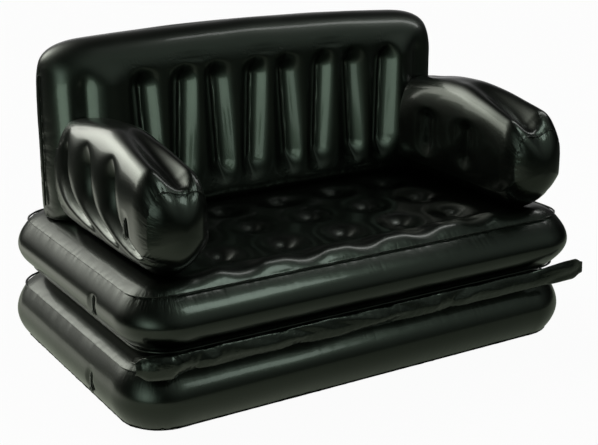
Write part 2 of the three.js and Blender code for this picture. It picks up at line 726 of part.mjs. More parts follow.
function valveBody() {
  const flange = plate(teardrop(FLANGE_LOW_RADIUS, FLANGE_HIGH_RADIUS, FLANGE_SPAN), 0, FLANGE_THICKNESS);
  const stem = turned([
    [0, -STEM_LENGTH + CLEARANCE],
    [STEM_RADIUS, -STEM_LENGTH + CLEARANCE],
    [STEM_RADIUS, FLANGE_THICKNESS / 2],
    [0, FLANGE_THICKNESS / 2],
  ]);
  const bore = turned([
    [0, -STEM_LENGTH - OVERRUN],
    [VALVE_BORE_RADIUS, -STEM_LENGTH - OVERRUN],
    [VALVE_BORE_RADIUS, OVERRUN],
    [0, OVERRUN],
  ]);
  const anchor = boxSolid(
    [-STRAP_WIDTH / 2, FLANGE_SPAN - ANCHOR_LENGTH / 2 + CLEARANCE, FLANGE_THICKNESS / 2],
    [STRAP_WIDTH / 2, FLANGE_SPAN + ANCHOR_LENGTH / 2, strapFloor + STRAP_THICKNESS],
  );
  return flange.add(stem).add(anchor).subtract(bore);
}

function valvePlug() {
  const head = strapFloor + PLUG_HEAD_THICKNESS;
  const plug = turned([
    [0, strapFloor - PLUG_LENGTH],
    [PLUG_TIP_RADIUS, strapFloor - PLUG_LENGTH],
    [PLUG_ROOT_RADIUS, strapFloor],
    [PLUG_HEAD_RADIUS, strapFloor],
    [PLUG_HEAD_RADIUS, head - CLEARANCE],
    [PLUG_HEAD_RADIUS - PLUG_HEAD_THICKNESS / 2, head],
    [0, head],
  ]);
  const strap = boxSolid(
    [-STRAP_WIDTH / 2, 0, strapFloor],
    [STRAP_WIDTH / 2, strapRoot, strapFloor + STRAP_THICKNESS],
  );
  return plug.add(strap);
}

function checkFlap() {
  const behind = -STEM_LENGTH;
  return turned([
    [0, behind - FLAP_THICKNESS],
    [FLAP_RADIUS, behind - FLAP_THICKNESS],
    [FLAP_RADIUS, behind],
    [0, behind],
  ]);
}

function addValve(owner, x, y, z) {
  const group = new THREE.Group();
  group.applyMatrix4(valveFrame(x, y, z));
  sofa.add(group);
  addPart(owner + "_valve_body", valveBody(), valveVinyl, group);
  addPart(owner + "_valve_plug", valvePlug(), valveVinyl, group);
  addPart(owner + "_check_flap", checkFlap(), innerVinyl, group);
}

function cutPocket(chamber, x, y, z, depth) {
  return chamber.subtract(valvePocket(depth).transform(valveFrame(x, y, z).elements));
}

// A weld seam: a thin lip that stands off a run of points along their outward directions
function seamLip(points, outward, standoff, closed) {
  const skin = new Skin();
  const at = (i, reach, side) => {
    const point = new THREE.Vector3(...points[i]);
    const out = outward[i].clone().normalize();
    const before = closed ? (i + points.length - 1) % points.length : Math.max(i - 1, 0);
    const after = closed ? (i + 1) % points.length : Math.min(i + 1, points.length - 1);
    const run = new THREE.Vector3(...points[after]).sub(new THREE.Vector3(...points[before]));
    const across = run.normalize().cross(out).normalize();
    return point.addScaledVector(out, reach).addScaledVector(across, (side * SEAM_THICKNESS) / 2).toArray();
  };
  const tip = standoff + SEAM_WIDTH;
  const rings = points.map((unused, i) =>
    skin.ring([at(i, standoff, -1), at(i, tip, -1), at(i, tip, 1), at(i, standoff, 1)]),
  );
  for (let i = 0; i < rings.length - 1; i += 1) skin.strip(rings[i], rings[i + 1]);
  if (closed) skin.strip(rings[rings.length - 1], rings[0]);
  else {
    skin.cap(rings[0], true);
    skin.cap(rings[rings.length - 1], false);
  }
  return skin.solid();
}

// A seam round a tier, leaning up or down from the band
function tierSeam(inset, height, lean) {
  const ring = outerRing(inset, height);
  const wider = outerRing(inset - SEAM_WIDTH, height);
  const outward = ring.map((point, i) => {
    const flat = new THREE.Vector3(...wider[i]).sub(new THREE.Vector3(...point)).normalize();
    return flat.multiplyScalar(Math.cos(lean)).setZ(Math.sin(lean));
  });
  return seamLip(ring, outward, SEAM_STANDOFF, true);
}

// A seam up one rounded end of the backrest
function backEndSeam(side) {
  const heights = range(8, END_SEAM_FOOT, END_SEAM_HEAD);
  const points = heights.map((z) => [(side * BACK_WIDTH) / 2, BACK_MIDDLE, z]);
  return seamLip(points, points.map(() => new THREE.Vector3(side, 0, 0)), CLEARANCE, false);
}

// A seam round the front face of an arm
function armFrontSeam() {
  const ring = armSection(ARM_FRONT_ROUND - ARM_FRONT);
  const middle = (armTopAt(-ARM_FRONT) + FOOT_HEIGHT) / 2;
  const upper = ring.filter((point) => point[2] > middle);
  const outward = upper.map((point) => new THREE.Vector3(point[0], -ARM_WIDTH / 2, point[2] - middle));
  return seamLip(upper, outward, ARM_SEAM_STANDOFF, false);
}

// One leaf of the hinge web as a strip between its welded root and its free edge, from left to right
function webLeaf(stations, side) {
  const sections = stations.map(({ x, root, edge, thickness }) => {
    const ruffle = WEB_RUFFLE * Math.sin((2 * Math.PI * x) / WEB_RUFFLE_LENGTH);
    const sag = side * (WEB_BELLY + ruffle);
    const belly = { y: mix(root.y, edge.y, 1 / 2), z: mix(root.z, edge.z, 1 / 2) - sag };
    const run = [root, belly, edge];
    const under = run.map(({ y, z }) => [x, y, z]);
    const over = run.map(({ y, z }) => [x, y, z + side * thickness]);
    return [...under, ...over.reverse()];
  });
  return loft(sections);
}

// The upper leaf is level with the fold line and ends in a flattened tube that sticks out on the right
function upperLeaf(root) {
  const fold = { y: HINGE_Y + CLEARANCE, z: TIER_HEIGHT + CLEARANCE / 2 };
  return webLeaf(
    range(WEB_STEPS + 1, WEB_LEFT, WEB_RIGHT).map((x) => {
      const share = fade(x, WEB_RIGHT - TAIL_LENGTH, WEB_RIGHT);
      const gather = share * TAIL_GATHER_SHARE;
      return {
        x,
        root: { y: mix(root.y, fold.y, gather), z: mix(root.z, fold.z + TAIL_RISE, share) },
        edge: { y: fold.y, z: fold.z + TAIL_RISE * share },
        thickness: mix(WEB_THICKNESS, TAIL_THICKNESS, share),
      };
    }),
    1,
  );
}

// The lower leaf ends in a flap that hangs over the base's left front corner
function lowerLeaf(root) {
  const fold = { y: HINGE_Y + CLEARANCE, z: TIER_HEIGHT - CLEARANCE / 2 };
  return webLeaf(
    range(WEB_STEPS + 1, -TIER_WIDTH / 2 + FLAP_TIP_INSET, WEB_RIGHT - TAIL_LENGTH).map((x) => {
      const share = 1 - fade(x, -TIER_WIDTH / 2 + FLAP_TIP_INSET, WEB_LEFT + FLAP_RUN);
      return {
        x,
        root: { y: root.y + FLAP_SETBACK * share ** 2, z: root.z },
        edge: { y: fold.y + FLAP_TIP_SETBACK * share, z: fold.z - FLAP_DROP * share },
        thickness: WEB_THICKNESS,
      };
    }),
    -1,
  );
}

// Chambers, each with its air space and the pocket for its valve
const seatValve = [-TIER_WIDTH / 2 + BAND_POCKET_DEPTH, TIER_VALVE_Y, TIER_HEIGHT + SEAT_VALVE_RISE];
const baseValve = [
  -TIER_WIDTH / 2 + BAND_POCKET_DEPTH + BASE_SHIFT_X,
  TIER_VALVE_Y + BASE_SHIFT_Y,
  BASE_VALVE_RISE,
];
const armValve = [-ARM_MIDDLE_X - ARM_WIDTH / 2 + ARM_POCKET_DEPTH, ARM_VALVE_Y, ARM_VALVE_HEIGHT];

const seatAir = tierCavity({
  floor: SEAT_FLOOR,
  lowSeam: seatLowSeam,
  highSeam: seatHighSeam,
  ceiling: TIER_HEIGHT + CREST_RISE - SEAT_DIMPLE_DEPTH - SHEET_WALL,
});
const seatChamber = cutPocket(seatSkin().subtract(seatAir), ...seatValve, BAND_POCKET_DEPTH);
addPart("seat_chamber", seatChamber, vinyl);

const baseAir = tierCavity({
  floor: FLOOR_DIMPLE_DEPTH,
  lowSeam: baseLowSeam,
  highSeam: baseHighSeam,
  ceiling: TIER_HEIGHT - FLOOR_DIMPLE_DEPTH - SHEET_WALL,
});
const baseShift = [BASE_SHIFT_X, BASE_SHIFT_Y, 0];
const baseSolid = baseSkin().subtract(baseAir).translate(baseShift);
addPart("base_chamber", cutPocket(baseSolid, ...baseValve, BAND_POCKET_DEPTH), vinyl);

const backSolid = backSkin();
const backGap = backSolid.translate([0, -CLEARANCE, 0]);
const portX = ARM_MIDDLE_X - AIR_PORT_INSET;
const ports = airPort(-portX).add(airPort(portX));
addPart("backrest_chamber", backSolid.subtract(backCavity()).subtract(ports), vinyl);

const armSolid = armSkin().subtract(armCavity());
const armSpace = backGap.add(ports);
const leftArm = armSolid.translate([-ARM_MIDDLE_X, 0, 0]).subtract(armSpace);
const rightArm = armSolid.mirror([1, 0, 0]).translate([ARM_MIDDLE_X, 0, 0]).subtract(armSpace);
addPart("left_arm_chamber", cutPocket(leftArm, ...armValve, ARM_POCKET_DEPTH), vinyl);
addPart("right_arm_chamber", rightArm, vinyl);

// Weld seams
const seamLean = Math.PI / 4;
addPart("seat_top_seam", tierSeam(SEAM_INSET, SEAT_FLOOR + seatHighSeam.height, seamLean), seamVinyl);
addPart("seat_bottom_seam", tierSeam(SEAM_INSET, SEAT_FLOOR + seatLowSeam.height, -seamLean), seamVinyl);
const baseTopSeam = tierSeam(SEAM_INSET, baseHighSeam.height, seamLean);
const baseBottomSeam = tierSeam(FLOOR_SEAM_INSET, FLOOR_SEAM_RISE, -FLOOR_SEAM_LEAN);
addPart("base_top_seam", baseTopSeam.translate(baseShift), seamVinyl);
addPart("base_bottom_seam", baseBottomSeam.translate(baseShift), seamVinyl);
addPart("backrest_left_seam", backEndSeam(-1), seamVinyl);
addPart("backrest_right_seam", backEndSeam(1), seamVinyl);
addPart("left_arm_front_seam", armFrontSeam().translate([-ARM_MIDDLE_X, 0, 0]), seamVinyl);
addPart("right_arm_front_seam", armFrontSeam().translate([ARM_MIDDLE_X, 0, 0]), seamVinyl);

// Tie strips inside the backrest and the arms, which hold the valleys between their ribs
centred(RIB_COUNT + 1, RIB_PITCH).forEach((x, i) => {
  const strip = boxSolid(
    [x - TIE_THICKNESS / 2, backCavityFront + CLEARANCE, backCavityFloor + TIE_FOOT_MARGIN],
    [x + TIE_THICKNESS / 2, backCavityRear - CLEARANCE, backCavityTop - TIE_FOOT_MARGIN],
  );
  addPart("backrest_tie_strip_" + (i + 1), strip, innerVinyl);
});
for (const [name, side] of [["left", -1], ["right", 1]]) {
  for (let i = 0; i < CREASE_COUNT - 1; i += 1) {
    const y = CREASE_FIRST_Y - (i + 1) * CREASE_PITCH;
    const strip = boxSolid(
      [-armCavityHalfWidth + CLEARANCE, y - TIE_THICKNESS / 2, armCavityFloor + TIE_FOOT_MARGIN],
      [armCavityHalfWidth - CLEARANCE, y + TIE_THICKNESS / 2, armCavityTop - TIE_FOOT_MARGIN],
    );
    addPart(name + "_arm_tie_strip_" + (i + 1), strip.translate([side * ARM_MIDDLE_X, 0, 0]), innerVinyl);
  }
}

// Hinge web
const seamTip = (SEAM_STANDOFF + SEAM_WIDTH) * Math.cos(seamLean);
const seamCorner = (SEAM_THICKNESS / 2) * Math.cos(seamLean);
const webRootY = -TIER_DEPTH / 2 + SEAM_INSET - seamTip - seamCorner - CLEARANCE;
const upperRoot = { y: webRootY, z: SEAT_FLOOR + seatLowSeam.height - seamTip };
const lowerRoot = { y: webRootY + BASE_SHIFT_Y, z: baseHighSeam.height + seamTip };
addPart("hinge_web_upper", upperLeaf(upperRoot), webVinyl);
addPart("hinge_web_lower", lowerLeaf(lowerRoot), webVinyl);

// Valves
addValve("seat", ...seatValve);
addValve("base", ...baseValve);
addValve("arm", ...armValve);

export default sofa;
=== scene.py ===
"""A two-tier inflatable sofa of glossy black film, dressed over its solid model, in metres."""

import logging
import math
from dataclasses import dataclass
from enum import Enum
from typing import Sequence

import bmesh
import bpy
import numpy as np
from mathutils import Matrix, Vector


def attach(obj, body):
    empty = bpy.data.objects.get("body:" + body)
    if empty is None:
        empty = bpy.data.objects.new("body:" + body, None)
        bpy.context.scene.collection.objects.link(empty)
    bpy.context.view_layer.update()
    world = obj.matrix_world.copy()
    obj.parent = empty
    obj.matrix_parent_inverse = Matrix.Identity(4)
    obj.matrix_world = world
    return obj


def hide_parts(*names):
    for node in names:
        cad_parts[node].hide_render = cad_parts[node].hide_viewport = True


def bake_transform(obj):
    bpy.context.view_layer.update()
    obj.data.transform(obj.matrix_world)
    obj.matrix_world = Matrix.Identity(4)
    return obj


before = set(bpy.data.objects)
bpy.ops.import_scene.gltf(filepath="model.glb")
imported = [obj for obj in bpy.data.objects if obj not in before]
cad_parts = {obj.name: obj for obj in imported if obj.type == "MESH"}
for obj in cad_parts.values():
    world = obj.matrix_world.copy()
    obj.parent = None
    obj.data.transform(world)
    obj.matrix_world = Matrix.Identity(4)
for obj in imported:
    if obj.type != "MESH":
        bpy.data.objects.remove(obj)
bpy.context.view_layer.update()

LOG = logging.getLogger("sofa")
Array = np.ndarray
Object = bpy.types.Object
Material = bpy.types.Material
Socket = bpy.types.NodeSocket


# Names and sizes


class Slot(str, Enum):
    """The record's material slots."""

    CHAMBER = "chamber_film"
    SEAM = "weld_seam"
    WEB = "web_film"
    TIE = "tie_film"
    VALVE = "valve_film"
    PLUG = "valve_plug"


class Body(str, Enum):
    """The bodies that the pieces ride on."""

    SEAT = "seat_unit"
    BASE = "base"
    ARM_PLUG = "arm_plug"
    SEAT_PLUG = "seat_plug"
    BASE_PLUG = "base_plug"


class Side(Enum):
    """The left or the right half of the sofa, seen from the front."""

    LEFT = -1
    RIGHT = 1


@dataclass(frozen=True)
class SofaSize:
    """The sizes that several pieces share, as in the solid model."""

    width: float = 1.52
    depth: float = 0.97
    tier: float = 0.2
    corner: float = 0.15
    crest_rise: float = 0.004
    shift_x: float = -0.01
    shift_y: float = 0.014
    gap: float = 0.0003
    back_end_inset: float = 0.072
    back_rear_inset: float = 0.066
    back_depth: float = 0.25
    back_top: float = 0.945
    arm_side_inset: float = 0.057
    arm_width: float = 0.2
    arm_front_inset: float = 0.033

    @property
    def seat_top(self) -> float:
        """Height of the seat's top sheet."""
        return 2 * self.tier + self.crest_rise

    @property
    def foot(self) -> float:
        """Height on which the backrest and the arms stand."""
        return self.seat_top + self.gap

    @property
    def back_half(self) -> float:
        """Half of the backrest's width."""
        return self.width / 2 - self.back_end_inset

    @property
    def back_middle(self) -> float:
        """Where the backrest's middle plane lies, front to back."""
        return self.depth / 2 - self.back_rear_inset - self.back_depth / 2

    @property
    def arm_middle(self) -> float:
        """Distance of an arm's middle plane from the sofa's."""
        return self.width / 2 - self.arm_side_inset - self.arm_width / 2

    @property
    def arm_front(self) -> float:
        """Where the arms' front panels bulge to, front to back."""
        return self.arm_front_inset - self.depth / 2


SIZE = SofaSize()


# Numbers


def ease(value: Array, low: float, high: float) -> Array:
    """A smooth step.

    Args:
        value: Where to read the step.
        low: The step is 0 up to here.
        high: The step is 1 from here on.

    Returns:
        The step's value, from 0 to 1.
    """
    share = np.clip((np.asarray(value, float) - low) / (high - low), 0, 1)
    return share * share * (3 - 2 * share)


def bell(value: Array, middle: float, reach: float) -> Array:
    """A soft bump of height 1 at middle, which is down to a third at reach."""
    return np.exp(-(((np.asarray(value, float) - middle) / reach) ** 2))


def run_length(*coordinates: Array) -> Array:
    """Length along a line of points, from its first point.

    Args:
        coordinates: One array for each coordinate of the points.

    Returns:
        The length at each point.
    """
    steps = np.sqrt(sum(np.diff(np.asarray(c, float)) ** 2 for c in coordinates))
    return np.concatenate([[0.0], np.cumsum(steps)])


@dataclass(frozen=True)
class Noise:
    """Seeded smooth noise over a plane, from -1 to 1.

    Args:
        seed: The same seed gives the same noise on each run.
        round_u: A whole number of cells after which the noise repeats along u.
    """

    seed: int
    round_u: int = 0

    def __call__(self, u: Array, v: Array = 0.0) -> Array:
        """Reads the noise.

        Args:
            u: Places along, one cell for each whole number.
            v: Places across.

        Returns:
            The noise at each place.
        """
        table = np.random.default_rng(self.seed).uniform(-1, 1, (256, 256))
        u, v = np.broadcast_arrays(np.asarray(u, float), np.asarray(v, float))
        i, j = np.floor(u).astype(int), np.floor(v).astype(int)
        s, t = u - i, v - j
        s, t = s * s * (3 - 2 * s), t * t * (3 - 2 * t)
        wrap = self.round_u or 256

        def at(a: int, b: int) -> Array:
            """The table's value at one corner of the cell."""
            return table[((i + a) % wrap) % 256, (j + b) % 256]

        low = at(0, 0) * (1 - s) + at(1, 0) * s
        high = at(0, 1) * (1 - s) + at(1, 1) * s
        return low * (1 - t) + high * t


@dataclass(frozen=True)
class Pucker:
    """Creases that run away from a weld line and fade with the distance from it.

    Args:
        height: How far the deepest crease goes in, in metres.
        pitch: Typical distance between creases, in metres.
        reach: Distance over which they fade, in metres.
        seed: Picks the arrangement.
    """

    height: float
    pitch: float
    reach: float
    seed: int

    def swell(self, along: Array, away: Array, length: float = 0.0) -> Array:
        """How far the film stands out of its smooth shape.

        Args:
            along: Places along the weld line, in metres.
            away: Distances from the weld line, in metres.
            length: Length of a closed weld line, or 0 for an open one.

        Returns:
            The displacement along the film's normal, in metres.
        """
        cells = max(int(round(length / self.pitch)), 1) if length else 0
        u = np.asarray(along) * (cells / length if length else 1 / self.pitch)
        lean = 0.6 * Noise(self.seed + 1)(np.asarray(along) / (4 * self.pitch), 0.5)
        coarse = Noise(self.seed, cells)(u + (0 if length else lean), away / (4 * self.pitch))
        fine = Noise(self.seed + 2, 2 * cells)(2 * u, away / (2 * self.pitch))
        folds = 1 - 2 * np.abs(0.7 * coarse + 0.3 * fine) ** 0.7
        return -self.height * np.maximum(folds, 0) * np.exp(-np.asarray(away) / self.reach)


# Node trees


class Value:
    """A socket's number, on which Python's operators add Math nodes to its tree."""

    def __init__(self, net: "Net", socket: Socket) -> None:
        """Wraps socket, an output in net's tree."""
        self.net = net
        self.socket = socket

    def __add__(self, other: "Term") -> "Value":
        """The sum."""
        return self.net.math("ADD", self, other)

    __radd__ = __add__

    def __sub__(self, other: "Term") -> "Value":
        """The difference."""
        return self.net.math("SUBTRACT", self, other)

    def __rsub__(self, other: "Term") -> "Value":
        """The difference, from a number."""
        return self.net.math("SUBTRACT", other, self)

    def __mul__(self, other: "Term") -> "Value":
        """The product."""
        return self.net.math("MULTIPLY", self, other)

    __rmul__ = __mul__

    def __truediv__(self, other: "Term") -> "Value":
        """The quotient."""
        return self.net.math("DIVIDE", self, other)

    def __pow__(self, power: "Term") -> "Value":
        """The power."""
        return self.net.math("POWER", self, power)

    def __lt__(self, other: "Term") -> "Value":
        """1 where this is less, else 0."""
        return self.net.math("LESS_THAN", self, other)

    def __abs__(self) -> "Value":
        """The size without its sign."""
        return self.net.math("ABSOLUTE", self)


Term = Value | float


class Net:
    """A shader or geometry tree under construction."""

    def __init__(self, tree: bpy.types.NodeTree) -> None:
        """Takes an empty tree."""
        self.tree = tree

    def node(self, kind: str, settings: dict | None = None, sockets: dict | None = None) -> bpy.types.Node:
        """Adds a node.

        Args:
            kind: The node's type in Blender.
            settings: The node's own settings, which are set first.
            sockets: Values or links for its inputs, by name or number.

        Returns:
            The node.
        """
        made = self.tree.nodes.new(kind)
        for name, value in (settings or {}).items():
            setattr(made, name, value)
        for key, value in (sockets or {}).items():
            if isinstance(value, Value):
                value = value.socket
            if isinstance(value, Socket):
                self.tree.links.new(value, made.inputs[key])
            else:
                made.inputs[key].default_value = value
        return made

    def math(self, operation: str, *terms: Term) -> Value:
        """Adds a Math node on values and numbers, and returns its result."""
        made = self.node("ShaderNodeMath", {"operation": operation}, dict(enumerate(terms)))
        return Value(self, made.outputs[0])

    def vector(self, operation: str, *terms: object) -> bpy.types.Node:
        """Adds a Vector Math node, whose sockets come by place."""
        return self.node("ShaderNodeVectorMath", {"operation": operation}, dict(enumerate(terms)))

    def dot(self, a: object, b: object) -> Value:
        """The scalar product of two vectors."""
        return Value(self, self.vector("DOT_PRODUCT", a, b).outputs["Value"])

    def scaled(self, vector: object, factor: Term) -> Socket:
        """A vector times a number."""
        made = self.node("ShaderNodeVectorMath", {"operation": "SCALE"}, {0: vector, "Scale": factor})
        return made.outputs[0]

    def smooth(self, value: Term, low: Term, high: Term) -> Value:
        """A smooth step from 0 at low to 1 at high."""
        sockets = {"Value": value, "From Min": low, "From Max": high}
        made = self.node("ShaderNodeMapRange", {"interpolation_type": "SMOOTHSTEP"}, sockets)
        return Value(self, made.outputs["Result"])

    def noise(self, place: object, scale: Term, detail: float = 2.0, rough: float = 0.5) -> Value:
        """Noise from 0 to 1 at a place, with scale features to the metre."""
        sockets = {"Vector": place, "Scale": scale, "Detail": detail, "Roughness": rough}
        return Value(self, self.node("ShaderNodeTexNoise", None, sockets).outputs[0])

    def mixed(self, share: Term, first: object, second: object) -> Socket:
        """Mixes two colours, each three numbers or a socket, by the second one's share."""
        sockets = {0: share}
        for key, colour in ((6, first), (7, second)):
            sockets[key] = (*colour, 1.0) if isinstance(colour, tuple) else colour
        return self.node("ShaderNodeMix", {"data_type": "RGBA"}, sockets).outputs[2]

    def attribute(self, name: str) -> bpy.types.Node:
        """Adds a node that reads one of the mesh's attributes in a material."""
        return self.node("ShaderNodeAttribute", {"attribute_name": name})


def bake(obj: Object, modifier: bpy.types.Modifier) -> None:
    """Keeps what a modifier makes of an object as its plain mesh, and takes the modifier off."""
    evaluated = obj.evaluated_get(bpy.context.evaluated_depsgraph_get())
    mesh = bpy.data.meshes.new_from_object(evaluated)
    obj.modifiers.remove(modifier)
    old, obj.data = obj.data, mesh
    bpy.data.meshes.remove(old)
    mesh.name = obj.name


class Tree(Net):
    """A geometry tree with named inputs, run once on an object and then taken off."""

    NAME = "tree"
    INPUTS: dict[str, float] = {}

    def __init__(self) -> None:
        """Makes the tree, its inputs and its nodes."""
        super().__init__(bpy.data.node_groups.new(self.NAME, "GeometryNodeTree"))
        face = self.tree.interface
        face.new_socket("Geometry", in_out="INPUT", socket_type="NodeSocketGeometry")
        for name, start in self.INPUTS.items():
            made = face.new_socket(name, in_out="INPUT", socket_type="NodeSocketFloat")
            made.default_value = start
        face.new_socket("Finish", in_out="INPUT", socket_type="NodeSocketMaterial")
        face.new_socket("Geometry", in_out="OUTPUT", socket_type="NodeSocketGeometry")
        self.inputs = self.node("NodeGroupInput")
        self.finish(self.shape(self.inputs.outputs["Geometry"]))

    def value(self, name: str) -> Value:
        """A named input."""
        return Value(self, self.inputs.outputs[name])

    def shape(self, geometry: Socket) -> Socket:
        """Adds the nodes that make the shape from the input geometry, and returns their result."""
        return geometry

    def finish(self, geometry: Socket) -> None:
        """Ends the tree in real geometry with its material."""
        real = self.node("GeometryNodeRealizeInstances", None, {0: geometry})
        sockets = {"Geometry": real.outputs[0], "Material": self.inputs.outputs["Finish"]}
        dressed = self.node("GeometryNodeSetMaterial", None, sockets)
        self.node("NodeGroupOutput", None, {"Geometry": dressed.outputs[0]})

    def run(self, obj: Object, material: Material, **values: float) -> None:
        """Runs the tree on an object, which keeps the result as its plain mesh and no modifier.

        Args:
            obj: The object, whose mesh is the tree's input.
            material: The material for the result.
            values: The named inputs, with _ for a blank.
        """
        modifier = obj.modifiers.new(self.NAME, "NODES")
        modifier.node_group = self.tree
        wanted = {name.replace("_", " "): value for name, value in values.items()} | {"Finish": material}
        for item in self.tree.interface.items_tree:
            if item.item_type == "SOCKET" and item.in_out == "INPUT" and item.name in wanted:
                modifier[item.identifier] = wanted[item.name]
        bake(obj, modifier)


class PressTree(Tree):
    """Valleys at an even pitch, pressed into a swollen face between round ribs.

    The face lies along Along X/Y, is pressed along Press X/Y, and stands from Foot to Head.
    SOFT rounds the valleys' floors, and ROUND is how near the ribs come to half circles.
    """

    NAME = "press_valleys"
    SOFT = 0.1
    ROUND = 0.93
    INPUTS = {
        "Along X": 1.0,
        "Along Y": 0.0,
        "Press X": 0.0,
        "Press Y": 1.0,
        "Middle X": 0.0,
        "Middle Y": 0.0,
        "First": 0.0,
        "Pitch": 0.125,
        "Count": 8.0,
        "Depth": 0.04,
        "Foot": 0.474,
        "Head": 0.846,
        "Fade": 0.042,
        "Head Fade": 0.042,
        "Half Width": 0.1,
        "Sway": 0.0,
        "Lean": 0.0,
        "Bend": 2.0,
        "Fullness": 2.0,
        "Softness": 0.0,
    }

    def plane(self, name: str) -> Socket:
        """A level vector from the two inputs whose names start with name."""
        sockets = {"X": self.inputs.outputs[name + " X"], "Y": self.inputs.outputs[name + " Y"]}
        return self.node("ShaderNodeCombineXYZ", None, sockets).outputs[0]

    def shape(self, geometry: Socket) -> Socket:
        """Adds the nodes that press the valleys, and returns their result."""
        place = self.node("GeometryNodeInputPosition").outputs[0]
        press = self.plane("Press")
        from_middle = self.vector("SUBTRACT", place, self.plane("Middle")).outputs[0]
        side = self.dot(from_middle, press)
        height = self.dot(place, (0.0, 0.0, 1.0))
        foot, head, fade = self.value("Foot"), self.value("Head"), self.value("Fade")
        share = self.math("MINIMUM", self.math("MAXIMUM", (height - foot) / (head - foot), 0.0), 1.0)
        low = 1 - share
        along = self.dot(place, self.plane("Along")) - self.value("Lean") * low ** self.value("Bend")
        plain = (along - self.value("First")) / self.value("Pitch")
        sway = self.value("Sway") * self.math("COSINE", plain * math.pi) * (share - 0.5)
        phase = plain + sway
        nearest = self.math("ROUND", phase)
        nearest = self.math("MINIMUM", self.math("MAXIMUM", nearest, 0.0), self.value("Count") - 1)
        away = self.math("SQRT", (phase - nearest) ** 2.0 * 4 + self.SOFT**2)
        off = self.math("MAXIMUM", (1 - away) / (1 - self.SOFT), 0.0)
        valley = 1 - self.math("SQRT", 1 - off ** self.value("Fullness") * self.ROUND)
        valley = valley / (1 - math.sqrt(1 - self.ROUND))
        soft = off * off * (3 - 2 * off)
        valley = valley + (soft - valley) * self.value("Softness")
        window = self.smooth(height, foot - fade / 2, foot + fade)
        window = window * (1 - self.smooth(height, head - self.value("Head Fade"), head))
        near = self.math("MINIMUM", abs(side) / self.value("Half Width") * 2, 1.0)
        depth = self.value("Depth") * valley * window * (side < 0) * near
        sockets = {"Geometry": geometry, "Offset": self.scaled(press, depth)}
        return self.node("GeometryNodeSetPosition", None, sockets).outputs[0]


class LipTree(Tree):
    """A ruffled lip of two welded films, raised from a line that holds its directions.

    NOTCHES is how finely its edge is notched, and ROWS how much of the ruffle each of its rows takes.
    """

    NAME = "ruffled_lip"
    NOTCHES = 190.0
    ROWS = (0.4, 1.0)
    INPUTS = {"Width": 0.009, "Thickness": 0.0012, "Ruffle": 0.002, "Ruffles": 60.0}

    def direction(self, name: str) -> Socket:
        """A vector that the line's points hold."""
        made = self.node("GeometryNodeInputNamedAttribute", {"data_type": "FLOAT_VECTOR"}, {"Name": name})
        return made.outputs[0]

    def shape(self, geometry: Socket) -> Socket:
        """Adds the nodes that raise, ruffle and thicken the lip, and returns their result."""
        place = self.node("GeometryNodeInputPosition").outputs[0]
        wave = self.noise(place, self.value("Ruffles")) - 0.5
        notch = self.noise(place, self.NOTCHES, 1.0) - 0.5
        ribbon, edges = geometry, None
        for share in self.ROWS:
            width = self.value("Width") * (1 + notch * 0.6) * 0.5
            sockets = {"Mesh": ribbon, "Offset": self.direction("outward"), "Offset Scale": width}
            if edges:
                sockets["Selection"] = edges
            raised = self.node("GeometryNodeExtrudeMesh", {"mode": "EDGES"}, sockets)
            edges = raised.outputs["Top"]
            offset = self.scaled(self.direction("across"), self.value("Ruffle") * wave * (2 * share))
            sockets = {"Geometry": raised.outputs[0], "Selection": edges, "Offset": offset}
            ribbon = self.node("GeometryNodeSetPosition", None, sockets).outputs[0]
        sockets = {"Mesh": ribbon, "Offset Scale": self.value("Thickness"), "Individual": False}
        thick = self.node("GeometryNodeExtrudeMesh", {"mode": "FACES"}, sockets).outputs[0]
        under = self.node("GeometryNodeFlipFaces", None, {0: ribbon}).outputs[0]
        both = self.node("GeometryNodeJoinGeometry")
        for part in (thick, under):
            self.tree.links.new(part, both.inputs[0])
        sockets = {"Geometry": both.outputs[0], "Distance": 0.00001}
        return self.node("GeometryNodeMergeByDistance", None, sockets).outputs[0]


class RingTree(Tree):
    """A low embossed ring round each weld of a coil beam, on the points of a mesh."""

    NAME = "coil_weld_rings"
    RING_SIDES = 28
    BEAD_SIDES = 6
    INPUTS = {"Radius": 0.024, "Bead": 0.002, "Flatness": 0.7}

    def circle(self, sides: int, radius: str) -> Socket:
        """A circle with that many points, whose radius is a named input."""
        sockets = {"Resolution": sides, "Radius": self.value(radius)}
        return self.node("GeometryNodeCurvePrimitiveCircle", None, sockets).outputs[0]

    def shape(self, geometry: Socket) -> Socket:
        """Adds the nodes that set a ring on each point, and returns their result."""
        path = self.circle(self.RING_SIDES, "Radius")
        sockets = {"Curve": path, "Profile Curve": self.circle(self.BEAD_SIDES, "Bead")}
        ring = self.node("GeometryNodeCurveToMesh", None, sockets).outputs[0]
        smooth = self.node("GeometryNodeSetShadeSmooth", None, {0: ring}).outputs[0]
        squash = self.node("ShaderNodeCombineXYZ", None, {"X": 1.0, "Y": 1.0, "Z": self.value("Flatness")})
        sockets = {"Points": geometry, "Instance": smooth, "Scale": squash.outputs[0]}
        return self.node("GeometryNodeInstanceOnPoints", None, sockets).outputs[0]


# Finishes


def blank(name: str) -> tuple[Material, Net]:
    """A new material whose tree is empty, and the net that fills it."""
    made = bpy.data.materials.new(name)
    made.use_nodes = True
    net = Net(made.node_tree)
    net.tree.nodes.clear()
    return made, net


